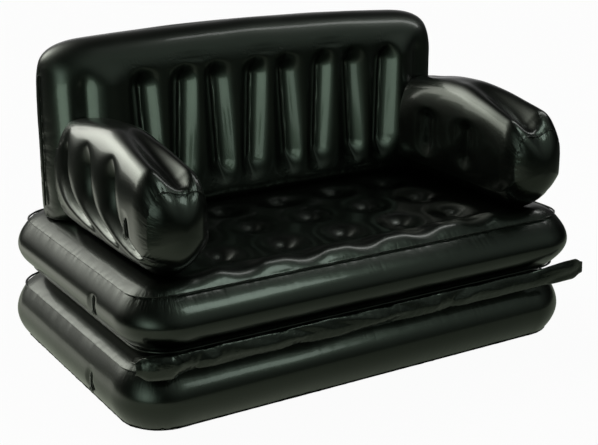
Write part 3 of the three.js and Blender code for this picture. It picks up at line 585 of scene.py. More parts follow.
@dataclass(frozen=True)
class FilmFinish:
    """Glossy soft film, with its ripples, creases, grain and handling marks.

    Args:
        name: The material's name.
        colour: The film's own colour, linear.
        rough: Roughness of the film itself.
        coat: Share of the glossy surface over it.
        gloss: Roughness of that surface.
        shine: How strongly the film itself reflects, where 0.5 is plain plastic.
        ripple: Height of the broad waves in the film, in metres.
        crease: Height of the creases near the welds, in metres.
        grain: Height of the fine grain, in metres.
        dust: How much lighter the handled places are, from 0 to 1.
        sheen_tint: Colour of what the film mirrors straight on.

    The scales of its patterns are features to the metre.
    """

    name: str
    colour: tuple[float, float, float]
    rough: float = 0.28
    coat: float = 0.4
    gloss: float = 0.1
    shine: float = 0.45
    ripple: float = 0.0005
    crease: float = 0.0012
    grain: float = 0.000012
    dust: float = 0.2
    sheen_tint: tuple[float, float, float] = (0.86, 1.0, 0.84)

    IOR = 1.53
    BROAD_SCALE = 9.0
    FOLD_SCALE = 62.0
    FOLD_STRETCH = (1.0, 1.0, 0.22)
    MARK_SCALE = 26.0
    MARK_TURN = (0.5, 0.7, 0.3)
    MARK_STRETCH = (1.0, 16.0, 16.0)
    MARK_DEPTH = 0.00004
    GRAIN_SCALE = 900.0
    HANDLED_SCALE = 5.0

    def material(self) -> Material:
        """The material, made on its first use."""
        return bpy.data.materials.get(self.name) or self.make()

    def make(self) -> Material:
        """Makes the material with its nodes."""
        made, net = blank(self.name)
        place = net.node("ShaderNodeTexCoord").outputs["Object"]
        film = net.attribute("film_place").outputs["Vector"]
        near_weld = Value(net, net.attribute("near_weld").outputs["Fac"])
        broad = net.noise(place, self.BROAD_SCALE, 2.0, 0.45)
        stretched = net.vector("MULTIPLY", film, self.FOLD_STRETCH).outputs[0]
        folds = 1 - abs(net.noise(stretched, self.FOLD_SCALE, 3.0, 0.6) - 0.5) * 4
        sockets = {0: place, "Rotation": self.MARK_TURN, "Scale": self.MARK_STRETCH}
        scuffed = net.node("ShaderNodeMapping", None, sockets).outputs[0]
        marks = net.smooth(net.noise(scuffed, self.MARK_SCALE, 3.0, 0.6), 0.62, 0.74)
        grain = net.noise(place, self.GRAIN_SCALE, 1.0)
        height = (
            broad * self.ripple
            + net.math("MAXIMUM", folds, 0.0) * near_weld * self.crease
            + marks * -self.MARK_DEPTH
            + grain * self.grain
        )
        bump = net.node("ShaderNodeBump", None, {"Strength": 1.0, "Distance": 1.0, "Height": height})
        handled = net.smooth(net.noise(place, self.HANDLED_SCALE, 5.0, 0.6), 0.45, 0.75)
        light = tuple(c * 1.6 + 0.002 for c in self.colour)
        sockets = {
            "Base Color": net.mixed(handled * self.dust, self.colour, light),
            "Roughness": self.rough + handled * 0.06 + marks * 0.1,
            "Normal": bump.outputs[0],
            "IOR": self.IOR,
            "Specular IOR Level": self.shine,
            "Specular Tint": (*self.sheen_tint, 1.0),
            "Coat Weight": self.coat,
            "Coat Roughness": self.gloss,
        }
        shader = net.node("ShaderNodeBsdfPrincipled", None, sockets)
        net.node("ShaderNodeOutputMaterial", None, {"Surface": shader.outputs[0]})
        return made


@dataclass(frozen=True)
class FloorFinish:
    """The floor, which shows white to the camera and keeps the shadow, and in the film glows with painted
    light: a pale painted reflection, painted shade on the right, at the front left and far off, and a
    painted pool of light beside the sofa's left side.
    """

    name: str = "pale_floor"
    # Share of plain white in what the camera sees
    seen: float = 0.96
    # The painted reflection that the film mirrors of it, and its painted shade on the right and at the front
    # left, with their edges
    painted_reflection: tuple[float, float, float] = (0.48, 0.52, 0.42)
    painted_shade: tuple[float, float, float] = (0.2, 0.23, 0.18)
    painted_shade_right: tuple[float, float] = (-1.6, 0.4)
    painted_shade_left: tuple[float, float] = (1.3, 1.9)
    painted_shade_front: tuple[float, float] = (-1.2, -0.6)
    # Its painted pool of light beside the sofa's left side, with the edges towards the left and the rear
    beside: tuple[float, float, float] = (0.92, 0.94, 0.82)
    painted_pool_left: tuple[float, float] = (0.8, 1.15)
    painted_pool_rear: tuple[float, float] = (-0.5, 0.1)
    # Its painted shade farther off, with the edge
    painted_far_shade: tuple[float, float, float] = (0.03, 0.035, 0.03)
    distance: tuple[float, float] = (1.9, 2.8)

    def material(self) -> Material:
        """Builds the material."""
        made, net = blank(self.name)
        path = net.node("ShaderNodeLightPath").outputs
        camera, gloss, through = (
            Value(net, path[f"Is {kind} Ray"]) for kind in ("Camera", "Glossy", "Transmission")
        )
        glossy = net.math("MAXIMUM", gloss, through)
        share = net.math("MAXIMUM", camera * self.seen, glossy)
        place = net.node("ShaderNodeTexCoord").outputs["Object"]
        speckle = net.noise(place, 40.0, 3.0) * 0.1 + 0.5
        rightward, leftward = net.dot(place, (1.0, 0.0, 0.0)), net.dot(place, (-1.0, 0.0, 0.0))
        forward, rearward = net.dot(place, (0.0, -1.0, 0.0)), net.dot(place, (0.0, 1.0, 0.0))
        left = net.smooth(leftward, *self.painted_shade_left)
        front = net.smooth(forward, *self.painted_shade_front)
        shade = net.math("MAXIMUM", net.smooth(rightward, *self.painted_shade_right), left * front * 0.9)
        near = net.smooth(leftward, *self.painted_pool_left) * net.smooth(rearward, *self.painted_pool_rear)
        near = near * (1 - left * 0.75)
        far = net.smooth(net.math("SQRT", net.dot(place, place)), *self.distance)
        # Painted light that the floor glows with to glossy rays: painted shade, a painted pool of light and
        # painted shade far off, over the painted reflection colour
        shaded = net.mixed(shade, self.painted_reflection, self.painted_shade)
        tint = net.mixed(far, net.mixed(near, shaded, self.beside), self.painted_far_shade)
        colour = net.mixed(glossy, (1.0, 1.0, 1.0), tint)
        matt = {"Base Color": (0.93, 0.93, 0.93, 1.0), "Roughness": speckle, "Specular IOR Level": 0.0}
        card = net.node("ShaderNodeBsdfPrincipled", None, matt)
        glow = net.node("ShaderNodeEmission", None, {"Color": colour, "Strength": 1.0})
        both = net.node("ShaderNodeMixShader", None, {0: share, 1: card.outputs[0], 2: glow.outputs[0]})
        net.node("ShaderNodeOutputMaterial", None, {"Surface": both.outputs[0]})
        return made


class Finish(Enum):
    """The finishes of the sofa's own pieces."""

    CHAMBER = FilmFinish("glossy_black_film", (0.0009, 0.0011, 0.0008))
    BACK = FilmFinish("handled_back_film", (0.0009, 0.0011, 0.0008), rough=0.36, coat=0.35, shine=0.6)
    SEAM = FilmFinish("welded_edge_film", (0.002, 0.0022, 0.0018), gloss=0.2, ripple=0.0002, grain=0.00003)
    WEB = FilmFinish("thin_web_film", (0.0009, 0.0012, 0.0009), rough=0.24, ripple=0.0006, dust=0.15)
    TIE = FilmFinish("inner_tie_film", (0.012, 0.012, 0.011), gloss=0.4, ripple=0.0003)
    VALVE = FilmFinish("moulded_valve", (0.0012, 0.0014, 0.0011), rough=0.3, coat=0.3, ripple=0.0, dust=0.3)
    PLUG = FilmFinish("moulded_plug", (0.05, 0.052, 0.048), rough=0.4, ripple=0.0, dust=0.3)

    def material(self) -> Material:
        """The finish's material, made on its first use."""
        return self.value.material()


# Mesh building


class Skin:
    """Points and faces of a film, gathered block by block, with what the finish reads."""

    def __init__(self) -> None:
        """Starts empty."""
        self.points: list[Array] = []
        self.swells: list[Array] = []
        self.places: list[Array] = []
        self.welds: list[Array] = []
        self.quads: list[Array] = []
        self.triangles: list[Array] = []
        self.count = 0

    def add(self, points: Array, place: Array, swell: Array = 0.0, weld: Array = 0.0) -> Array:
        """Adds a grid or a row of points.

        Args:
            points: Their places, with three numbers last.
            place: Where each lies on the film, for its finish, with three numbers last.
            swell: How far each is moved along the film's normal.
            weld: How near a weld each is, from 0 to 1.

        Returns:
            Their numbers, in the same grid.
        """
        grid = points.shape[:-1]
        total = int(np.prod(grid))
        self.points.append(points.reshape(-1, 3))
        self.places.append(np.broadcast_to(place, points.shape).reshape(-1, 3))
        self.swells.append(np.broadcast_to(swell, grid).reshape(-1))
        self.welds.append(np.broadcast_to(weld, grid).reshape(-1))
        numbers = np.arange(self.count, self.count + total).reshape(grid)
        self.count += total
        return numbers

    def sheet(self, numbers: Array, closed: bool = False) -> None:
        """Adds the faces between neighbouring rows of a grid, the rows closed on themselves if asked."""
        if closed:
            numbers = np.concatenate([numbers, numbers[:, :1]], axis=1)
        corners = [numbers[:-1, :-1], numbers[:-1, 1:], numbers[1:, 1:], numbers[1:, :-1]]
        self.quads.append(np.stack(corners, axis=-1).reshape(-1, 4))

    def fan(self, ring: Array, middle: Array) -> None:
        """Closes a ring of points round a middle point, which it adds."""
        hub = self.add(middle[None], middle[None])[0]
        self.triangles.append(np.stack([ring, np.roll(ring, -1), np.full_like(ring, hub)], axis=-1))

    def build(self, name: str, material: Material) -> Object:
        """Makes the object.

        Args:
            name: The object's name.
            material: Its finish.

        Returns:
            The object, at the origin, with its faces turned out.
        """
        mesh = bpy.data.meshes.new(name)
        faces = [q for block in self.quads for q in block.tolist()]
        faces += [t for block in self.triangles for t in block.tolist()]
        mesh.from_pydata(np.concatenate(self.points).tolist(), [], faces)
        turned = bmesh.new()
        turned.from_mesh(mesh)
        bmesh.ops.recalc_face_normals(turned, faces=turned.faces)
        turned.to_mesh(mesh)
        turned.free()
        total = len(mesh.vertices)
        swell = np.concatenate(self.swells)
        if np.any(swell):
            normals = np.zeros(total * 3)
            mesh.vertex_normals.foreach_get("vector", normals)
            moved = np.concatenate(self.points) + normals.reshape(-1, 3) * swell[:, None]
            mesh.vertices.foreach_set("co", moved.astype(np.float32).ravel())
        place = mesh.attributes.new("film_place", "FLOAT_VECTOR", "POINT")
        place.data.foreach_set("vector", np.concatenate(self.places).astype(np.float32).ravel())
        weld = mesh.attributes.new("near_weld", "FLOAT", "POINT")
        weld.data.foreach_set("value", np.concatenate(self.welds).astype(np.float32))
        mesh.polygons.foreach_set("use_smooth", np.ones(len(mesh.polygons), bool))
        mesh.update()
        return placed(name, mesh, material)


def placed(name: str, mesh: bpy.types.Mesh, material: Material) -> Object:
    """Puts a mesh in the scene as an object at the origin, with its material."""
    made = bpy.data.objects.new(name, mesh)
    bpy.context.scene.collection.objects.link(made)
    mesh.materials.clear()
    mesh.materials.append(material)
    return made


def settle(obj: Object, body: Body, slot: Slot, *nodes: str) -> Object:
    """Makes a finished piece ride, and lets it stand for solid nodes.

    Args:
        obj: The piece.
        body: The body that it rides on.
        slot: The record's material slot, which is not used.
        nodes: The solid nodes that it replaces.

    Returns:
        The piece.
    """
    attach(obj, body.value)
    if nodes:
        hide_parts(*nodes)
    LOG.info("%s: %d faces on %s", obj.name, len(obj.data.polygons), body.value)
    return obj


@dataclass
class Line:
    """A weld line: points with the direction that its lip sticks out in.

    Args:
        points: The line's points.
        outward: The lip's direction at each point.
        closed: Whether the line runs back to its first point.
    """

    points: Array
    outward: Array
    closed: bool

    def mesh(self, name: str) -> bpy.types.Mesh:
        """The line as edges that hold their outward and across directions.

        Args:
            name: The mesh's name.

        Returns:
            The mesh.
        """
        count = len(self.points)
        edges = [(i, i + 1) for i in range(count - 1)] + ([(count - 1, 0)] if self.closed else [])
        mesh = bpy.data.meshes.new(name)
        mesh.from_pydata(self.points.tolist(), edges, [])
        if self.closed:
            run = np.roll(self.points, -1, 0) - np.roll(self.points, 1, 0)
        else:
            run = np.gradient(self.points, axis=0)
        across = np.cross(run, self.outward)
        across /= np.linalg.norm(across, axis=1, keepdims=True)
        for key, vectors in (("outward", self.outward), ("across", across)):
            held = mesh.attributes.new(key, "FLOAT_VECTOR", "POINT")
            held.data.foreach_set("vector", vectors.astype(np.float32).ravel())
        return mesh


class Trimmer:
    """Makes the weld lips and coil welds of every chamber from shared trees."""

    def __init__(self) -> None:
        """Makes the trees once."""
        self.lips = LipTree()
        self.rings = RingTree()
        self.press = PressTree()

    def lip(
        self, name: str, line: Line, body: Body, *nodes: str, width: float = 0.006, ruffle: float = 0.0012
    ) -> None:
        """Adds a ruffled lip along a weld line.

        Args:
            name: The piece's name.
            line: The weld line.
            body: The body that it rides on.
            nodes: The solid nodes that it replaces.
            width: How far it sticks out.
            ruffle: How far it waves.
        """
        finish = Finish.SEAM.material()
        made = placed(name, line.mesh(name), finish)
        self.lips.run(made, finish, Width=width, Ruffle=ruffle)
        settle(made, body, Slot.SEAM, *nodes)

    def welds(self, name: str, points: Array, body: Body) -> None:
        """Adds a ring round each coil weld.

        Args:
            name: The piece's name.
            points: The middles of the welds.
            body: The body that they ride on.
        """
        finish = Finish.SEAM.material()
        mesh = bpy.data.meshes.new(name)
        mesh.from_pydata(points.tolist(), [], [])
        made = placed(name, mesh, finish)
        self.rings.run(made, finish)
        settle(made, body, Slot.SEAM)


# The tiers


@dataclass(frozen=True)
class Weld:
    """A weld line round a tier.

    Args:
        inset: How far it lies inside the bulge at the sides.
        height: Its height in the tier.
        front: How much farther in it lies along the front.
    """

    inset: float
    height: float
    front: float = 0.0

    def insets(self, ways: Array) -> Array:
        """Its inset at each point of the outline, from the outward directions there."""
        return self.inset + self.front * np.maximum(-ways[:, 1], 0) ** 2


@dataclass
class Dimples:
    """Rows of coil welds that hold a sheet down.

    Args:
        xs: Columns of welds.
        ys: Rows of welds.
        depth: How deep the sheet is held below its crest.
        pitch: Distance between welds along x and y.
        edge_pull: How far in front of the front row the pull still shows.
        disc: Share of half the way to the next weld that is held flat.
        rim: Share of it at which the sheet is level again.
        steepness: How fast the sheet rises round the disc.
    """

    xs: Array
    ys: Array
    depth: float
    pitch: tuple[float, float] = (0.2, 0.18)
    edge_pull: float = 0.14
    disc: float = 0.2
    rim: float = 1.12
    steepness: float = 2.4

    def centres(self) -> Array:
        """The middles of the welds, as rows of x and y."""
        return np.array([(x, y) for x in self.xs for y in self.ys])

    def sink(self, x: Array, y: Array) -> Array:
        """How far the sheet lies below its crest, at places on it.

        Args:
            x: Places across.
            y: Places front to back.

        Returns:
            The depth at each place, in metres.
        """
        deepest = np.zeros(np.broadcast(x, y).shape)
        half_x, half_y = self.pitch[0] / 2, self.pitch[1] / 2
        for cx, cy in self.centres():
            off_y = np.asarray(y) - cy
            reach = np.where((cy == min(self.ys)) & (off_y < 0), self.edge_pull, half_y)
            away = np.hypot((np.asarray(x) - cx) / half_x, off_y / reach)
            rise = np.clip((away - self.disc) / (self.rim - self.disc), 0, 1)
            deepest = np.maximum(deepest, (1 - rise) ** self.steepness)
        return self.depth * deepest


@dataclass
class Tier:
    """One air mattress of the sofa: bottom sheet, side band and top sheet as one skin.

    Args:
        name: What the pieces' names start with.
        body: The body that it rides on.
        floor: Height of its underside.
        low: The lower weld line.
        high: The upper weld line.
        low_crest: Inset from which the bottom sheet is level.
        low_level: Height of the bottom sheet in the tier.
        high_crest: Inset from which the top sheet is level.
        high_level: Height of the top sheet in the tier.
        valve: The valve that its side is sunk round.
        shift: Its place beside the sofa's middle.
        top: The top sheet's dimples.
        bottom: The bottom sheet's dimples.
        ridge: Height of the wavy ridge along the top sheet's front edge.
        seed: Picks its creases.
        band_power: How fast its side bulges out from the welds.
    """

    name: str
    body: Body
    floor: float
    low: Weld
    high: Weld
    low_crest: float
    low_level: float
    high_crest: float
    high_level: float
    valve: "Valve"
    shift: tuple[float, float] = (0.0, 0.0)
    top: Dimples | None = None
    bottom: Dimples | None = None
    ridge: float = 0.0
    seed: int = 1
    band_power: float = 1.9
    # Steps of the mesh in half a corner, along the front, along a side, up the band and on a shoulder
    arc_steps: int = 14
    wide_steps: int = 172
    deep_steps: int = 94
    band_rows: int = 30
    shoulder_rows: int = 11

    RIDGE_INSET = 0.128
    RIDGE_SWAY = 0.011
    RIDGE_PITCH = 0.2
    RIDGE_REACH = 0.016
    RIDGE_END = (0.46, 0.56)
    LOW_WELD = 0.02

    def outline(self) -> tuple[Array, Array]:
        """Corner middles and outward directions round the tier.

        Returns:
            Both as rows of x and y, anticlockwise from the front right corner's middle.
        """
        half = np.array([SIZE.width / 2 - SIZE.corner, SIZE.depth / 2 - SIZE.corner])
        corners = half * np.array([[1, -1], [1, 1], [-1, 1], [-1, -1]])
        hubs, ways = [], []
        for k in range(4):
            steps = self.deep_steps if k % 2 == 0 else self.wide_steps
            start, end = corners[k], corners[(k + 1) % 4]
            turn = np.linspace(-1, 0, self.arc_steps + 1)[:-1]
            straight = np.linspace(0, 1, steps + 1)[:-1]
            angles = np.concatenate([turn, 0 * straight, turn + 1]) * math.pi / 4 + k * math.pi / 2
            shares = np.concatenate([0 * turn, straight, 0 * turn + 1])
            hubs.append(start + (end - start) * shares[:, None])
            ways.append(np.stack([np.cos(angles), np.sin(angles)], axis=-1))
        return np.concatenate(hubs), np.concatenate(ways)

    def ring(self, inset: Array) -> Array:
        """The outline set in by inset, as rows of x and y, one ring for each inset."""
        hubs, ways = self.outline()
        reach = SIZE.corner - np.atleast_1d(inset)
        if reach.ndim == 1:
            reach = reach[:, None]
        return hubs[None] + ways[None] * reach[..., None]

    def level(self, x: Array, y: Array, upper: bool) -> Array:
        """Height of the top or bottom sheet above the floor."""
        dimples = self.top if upper else self.bottom
        sink = dimples.sink(x, y) if dimples else np.zeros(np.broadcast(x, y).shape)
        if not upper:
            return self.floor + self.low_level + sink
        turn = 2 * math.pi * np.asarray(x) / self.RIDGE_PITCH
        front = self.RIDGE_INSET - SIZE.depth / 2 + self.RIDGE_SWAY * np.cos(turn)
        wave = self.ridge * bell(y, front, self.RIDGE_REACH) * (1 - ease(np.abs(x), *self.RIDGE_END))
        return self.floor + self.high_level - sink + wave

    def grid(self, rim: Array, ring: Array) -> tuple[Array, Array]:
        """Places of a sheet's grid from its rim, and the rim's numbers in that grid.

        Args:
            rim: The rim's places, as rows of x and y.
            ring: The rim's numbers.

        Returns:
            The grid's places, and the numbers with -1 inside the rim.
        """
        wide, deep = self.wide_steps + 2 * self.arc_steps, self.deep_steps + 2 * self.arc_steps
        starts = np.cumsum([0, deep, wide, deep])
        order = np.arange(len(rim))

        def side(k: int, steps: int, back: bool) -> Array:
            """Places in the rim along one side, turned round if asked."""
            picked = order[(starts[k] + np.arange(steps + 1)) % len(rim)]
            return picked[::-1] if back else picked

        right, top = side(0, deep, False), side(1, wide, True)
        left, bottom = side(2, deep, True), side(3, wide, False)
        numbers = np.full((deep + 1, wide + 1), -1)
        numbers[:, -1], numbers[-1, :] = ring[right], ring[top]
        numbers[:, 0], numbers[0, :] = ring[left], ring[bottom]
        u = (rim[bottom, 0] - rim[bottom[0], 0]) / (rim[bottom[-1], 0] - rim[bottom[0], 0])
        v = (rim[left, 1] - rim[left[0], 1]) / (rim[left[-1], 1] - rim[left[0], 1])
        u, v = u[None, :, None], v[:, None, None]
        places = (1 - v) * rim[bottom][None] + v * rim[top][None]
        places = places + (1 - u) * rim[left][:, None] + u * rim[right][:, None]
        corners = rim[bottom[[0, -1]]], rim[top[[0, -1]]]
        places = places - (1 - v) * ((1 - u) * corners[0][0] + u * corners[0][1])
        places = places - v * ((1 - u) * corners[1][0] + u * corners[1][1])
        return places, numbers

    def shoulder(self, upper: bool) -> tuple[Array, Array, Array]:
        """Insets, heights and distances of the rows from a weld in to where the sheet is level.

        Args:
            upper: Whether it is the top sheet's shoulder.

        Returns:
            Insets and heights by row and point, and distances from the weld by row.
        """
        weld, crest = (self.high, self.high_crest) if upper else (self.low, self.low_crest)
        share = np.linspace(0, 1, self.shoulder_rows + 1)[1:]
        start = weld.insets(self.outline()[1])[None]
        insets = start + (crest - start) * share[:, None]
        rim = self.ring(crest)[0]
        level = self.level(rim[:, 0], rim[:, 1], upper)
        start = self.floor + weld.height
        heights = start + (level - start)[None] * (1 - (1 - share) ** 2)[:, None]
        away = run_length(np.append(weld.inset, insets.mean(1)), np.append(start, heights.mean(1)))[1:]
        return insets, heights, away

    def around(self) -> tuple[Array, float]:
        """Lengths round the bulge at each point of the outline, and the whole length."""
        rim = self.ring(0.0)[0]
        closed = np.concatenate([rim, rim[:1]])
        lengths = run_length(closed[:, 0], closed[:, 1])
        return lengths[:-1], float(lengths[-1])

    def corner_share(self) -> Array:
        """1 in the middle of a corner and 0 on the straight sides."""
        ways = self.outline()[1]
        return np.abs(2 * ways[:, 0] * ways[:, 1])

    def skin(self) -> Object:
        """Builds the tier's film.

        Returns:
            The object.
        """
        skin = Skin()
        lengths, total = self.around()
        radius = total / (2 * math.pi)
        turn = lengths / radius

        def place(v: Array) -> Array:
            """Where the rows lie on the film, without a seam at the ring's first point."""
            v = np.broadcast_to(np.atleast_1d(v)[:, None], (np.size(v), len(turn)))
            return np.stack([radius * np.cos(turn) + 0 * v, radius * np.sin(turn) + 0 * v, v], axis=-1)

        angle = np.linspace(0, math.pi, self.band_rows + 1)
        rise = (1 - np.cos(angle)) / 2
        ways = self.outline()[1]
        low, high = self.low.insets(ways)[None], self.high.insets(ways)[None]
        bend = (np.abs(np.cos(angle)) ** self.band_power)[:, None]
        insets = (low + (high - low) * rise[:, None]) * bend
        heights = self.floor + self.low.height + (self.high.height - self.low.height) * rise
        along = run_length(insets.mean(1), heights)
        away = np.minimum(along, along[-1] - along)
        flat = self.ring(insets)
        wide = np.broadcast_to(heights[:, None, None], (*flat.shape[:2], 1))
        corners = 1 + 1.6 * self.corner_share()[None]
        swell = Pucker(0.0013, 0.034, 0.018, self.seed).swell(lengths[None], away[:, None], total) * corners
        waves = Noise(self.seed + 5, 24)(lengths[None] * 24 / total, along[:, None] * 9) * 0.0012
        fade = ease(away, 0, 0.05)[:, None]
        weld = np.exp(-away / 0.03)[:, None] * np.minimum(corners, 2) / 2
        band = skin.add(np.concatenate([flat, wide], -1), place(along), swell + waves * fade, weld)
        skin.sheet(band, closed=True)
        for upper in (True, False):
            insets, heights, away = self.shoulder(upper)
            flat = self.ring(insets)
            wide = heights[..., None]
            sign = 1 if upper else -1
            pucker = Pucker(0.0012, 0.042, 0.022, self.seed + 20 + sign)
            swell = pucker.swell(lengths[None], away[:, None], total) * corners
            swell = swell * (1 - ease(away, 0.05, away[-1]))[:, None]
            weld = np.exp(-away / 0.03)[:, None] * np.minimum(corners, 2) / 2
            v = sign * away + (along[-1] if upper else 0)
            rows = skin.add(np.concatenate([flat, wide], -1), place(v), swell, weld)
            seam = band[-1:] if upper else band[:1]
            skin.sheet(np.concatenate([seam, rows]), closed=True)
            places, numbers = self.grid(flat[-1], rows[-1])
            inner = places[1:-1, 1:-1]
            z = self.level(inner[..., 0], inner[..., 1], upper)
            points = np.concatenate([inner, z[..., None]], -1)
            numbers[1:-1, 1:-1] = skin.add(points, points)
            skin.sheet(numbers)
        shift = np.array([*self.shift, 0.0])
        skin.points = [block + shift for block in skin.points]
        return skin.build(self.name + "_film", Finish.CHAMBER.material())

    def weld_line(self, upper: bool, lean: float, standoff: float = 0.0006) -> Line:
        """The line of one weld, whose lip leans up or down by lean radians."""
        weld = self.high if upper else self.low
        ways = self.outline()[1]
        flat = self.ring((weld.insets(ways) - standoff * math.cos(lean))[None])[0] + np.array(self.shift)
        height = self.floor + weld.height + standoff * math.sin(lean)
        points = np.concatenate([flat, np.full((len(flat), 1), height)], -1)
        rise = np.full((len(ways), 1), math.sin(lean))
        return Line(points, np.concatenate([ways * math.cos(lean), rise], -1), True)

    def build(self, trimmer: Trimmer) -> None:
        """Builds the tier's film, its two lips and its coil welds.

        Args:
            trimmer: Makes the lips and welds.
        """
        film = settle(self.skin(), self.body, Slot.CHAMBER, self.name + "_chamber")
        self.valve.recess(film)
        raised = self.low.height > self.LOW_WELD
        leans = {"top": math.pi / 4, "bottom": -math.pi / 4 if raised else math.pi / 6}
        for end, lean in leans.items():
            line = self.weld_line(end == "top", lean)
            trimmer.lip(f"{self.name}_{end}_lip", line, self.body, f"{self.name}_{end}_seam")
        for dimples, upper in ((self.top, True), (self.bottom, False)):
            if dimples:
                centres = dimples.centres()
                z = self.level(centres[:, 0], centres[:, 1], upper)
                points = np.column_stack([centres + np.array(self.shift), z + (0.0004 if upper else 0.0)])
                trimmer.welds(f"{self.name}_coil_welds_{'top' if upper else 'bottom'}", points, self.body)


# The backrest


@dataclass
class Backrest:
    """The ribbed chamber at the back, lofted from end seam to end seam and then pressed."""

    # Its ends: how far in they are round, how far the top drops there, and how square they are
    end_round: float = 0.15
    end_drop: float = 0.074
    end_power: float = 2.5
    # The fall of the top's arch, the height of the rounded top, and the radius along the foot
    arch: float = 0.026
    top_roll: float = 0.112
    foot_round: float = 0.046
    # The ribs: how many, the depth of their valleys, and the heights of their feet and heads
    rib_count: int = 7
    rib_depth: float = 0.05
    rib_foot: float = 0.474
    rib_head: float = 0.85
    # The runs over which the valleys fade out, at their feet and at their heads
    rib_fade: float = 0.055
    head_fade: float = 0.07
    # The pitch of the valleys, their shift to the right, and the pitch of the creases at their ends
    valley_pitch: float = 0.1225
    valley_shift: float = 0.026
    crease_pitch: float = 0.125
    # How far the face lies back at its head, and how far the posts beside the ribs stand out
    face_lean: float = 0.018
    post_rise: float = 0.017
    # The heights between which an end's lip runs
    lip_foot: float = 0.44
    lip_head: float = 0.83
    # Steps of the mesh between the ends and round each of them
    wide_steps: int = 196
    end_steps: int = 24

    LEAN_MARGIN = 0.06
    POST_MIDDLE = 0.515
    POST_REACH = 0.05
    POST_CREASE = 0.592
    POST_CREASE_REACH = 0.026
    POST_FOOT = (0.45, 0.54)
    POST_HEAD = (0.8, 0.87)

    def stations(self) -> tuple[Array, Array]:
        """Places along the width, and the share of the full thickness at each.

        Returns:
            Both, from the left end seam to the right one.
        """
        flat = SIZE.back_half - self.end_round
        angle = np.linspace(0, math.pi / 2, self.end_steps + 1)[1:-1]
        past = self.end_round * np.sin(angle) ** (2 / self.end_power)
        share = np.cos(angle) ** (2 / self.end_power)
        past, share = np.append(past, self.end_round), np.append(share, 0.012)
        middle = np.linspace(-flat, flat, self.wide_steps + 1)
        x = np.concatenate([-(flat + past)[::-1], middle, flat + past])
        return x, np.concatenate([share[::-1], np.ones(self.wide_steps + 1), share])

    def thickness(self, x: Array) -> Array:
        """Share of the full thickness at places along the width."""
        flat = SIZE.back_half - self.end_round
        past = np.clip((np.abs(x) - flat) / self.end_round, 0, 1)
        return (1 - past**self.end_power) ** (1 / self.end_power)

    def profile(self) -> tuple[Array, Array]:
        """The front half of a middle section, from under it to the top.

        Returns:
            Shares of the half thickness, and heights above the foot.
        """
        half, foot, high = SIZE.back_depth / 2, self.foot_round, SIZE.back_top - SIZE.foot
        spring = high - self.top_roll
        corner = np.linspace(0, math.pi / 2, 12)
        under = np.linspace(0, 1 - foot / half, 8)[:-1]
        face = np.linspace(foot, spring, 64)[1:-1]
        roll = np.linspace(0, math.pi / 2, 30)
        share = [under, 1 - foot / half * (1 - np.sin(corner)), np.ones_like(face), np.cos(roll)]
        height = [0 * under, foot * (1 - np.cos(corner)), face, spring + self.top_roll * np.sin(roll)]
        return np.concatenate(share), np.concatenate(height)

    def front(self, x: Array, z: Array) -> Array:
        """Where the unpressed front face lies, front to back, at places along and up."""
        share, height = self.profile()
        scale = (SIZE.back_top - SIZE.foot) / (self.top(x) - SIZE.foot)
        bulge = np.interp((z - SIZE.foot) * scale, height, share)
        return SIZE.back_middle - SIZE.back_depth / 2 * self.thickness(x) * bulge + self.lean(x, z) * bulge

    def lean(self, x: Array, z: Array) -> Array:
        """How far the front face lies back at places along and up, before its top rolls over."""
        low, high = self.rib_foot - self.LEAN_MARGIN, self.rib_head + self.LEAN_MARGIN
        return self.face_lean * self.thickness(x) * ease(z, low, high)

    def post(self, x: Array, z: Array) -> Array:
        """How far the soft posts beside the ribs stand out of the face, with the creases beside them."""
        out = np.abs(x)
        crease = 0.8 * bell(out, self.POST_CREASE, self.POST_CREASE_REACH)
        shape = self.post_rise * (bell(out, self.POST_MIDDLE, self.POST_REACH) - crease)
        return shape * ease(z, *self.POST_FOOT) * (1 - ease(z, *self.POST_HEAD))

    def top(self, x: Array) -> Array:
        """Height of the top at places along the width."""
        drop = self.end_drop * (1 - self.thickness(x))
        return SIZE.back_top - self.arch * (np.asarray(x) / SIZE.back_half) ** 2 - drop

    def near_ribs(self, x: Array, z: Array) -> Array:
        """How strongly the film creases by its ribs' feet, heads and valleys, from 0 to 1."""
        ribs_half = self.rib_count * self.crease_pitch / 2
        phase = (x + ribs_half) / self.crease_pitch
        valley = bell(phase - np.round(phase), 0, 0.16)
        ends = bell(z, self.rib_foot - 0.012, 0.022) + bell(z, self.rib_head, 0.02)
        inside = (np.abs(x) < ribs_half + 0.03) * (z < self.rib_head + 0.03)
        return np.clip(ends * (0.35 + 0.65 * valley) + 0.22 * valley, 0, 1) * inside

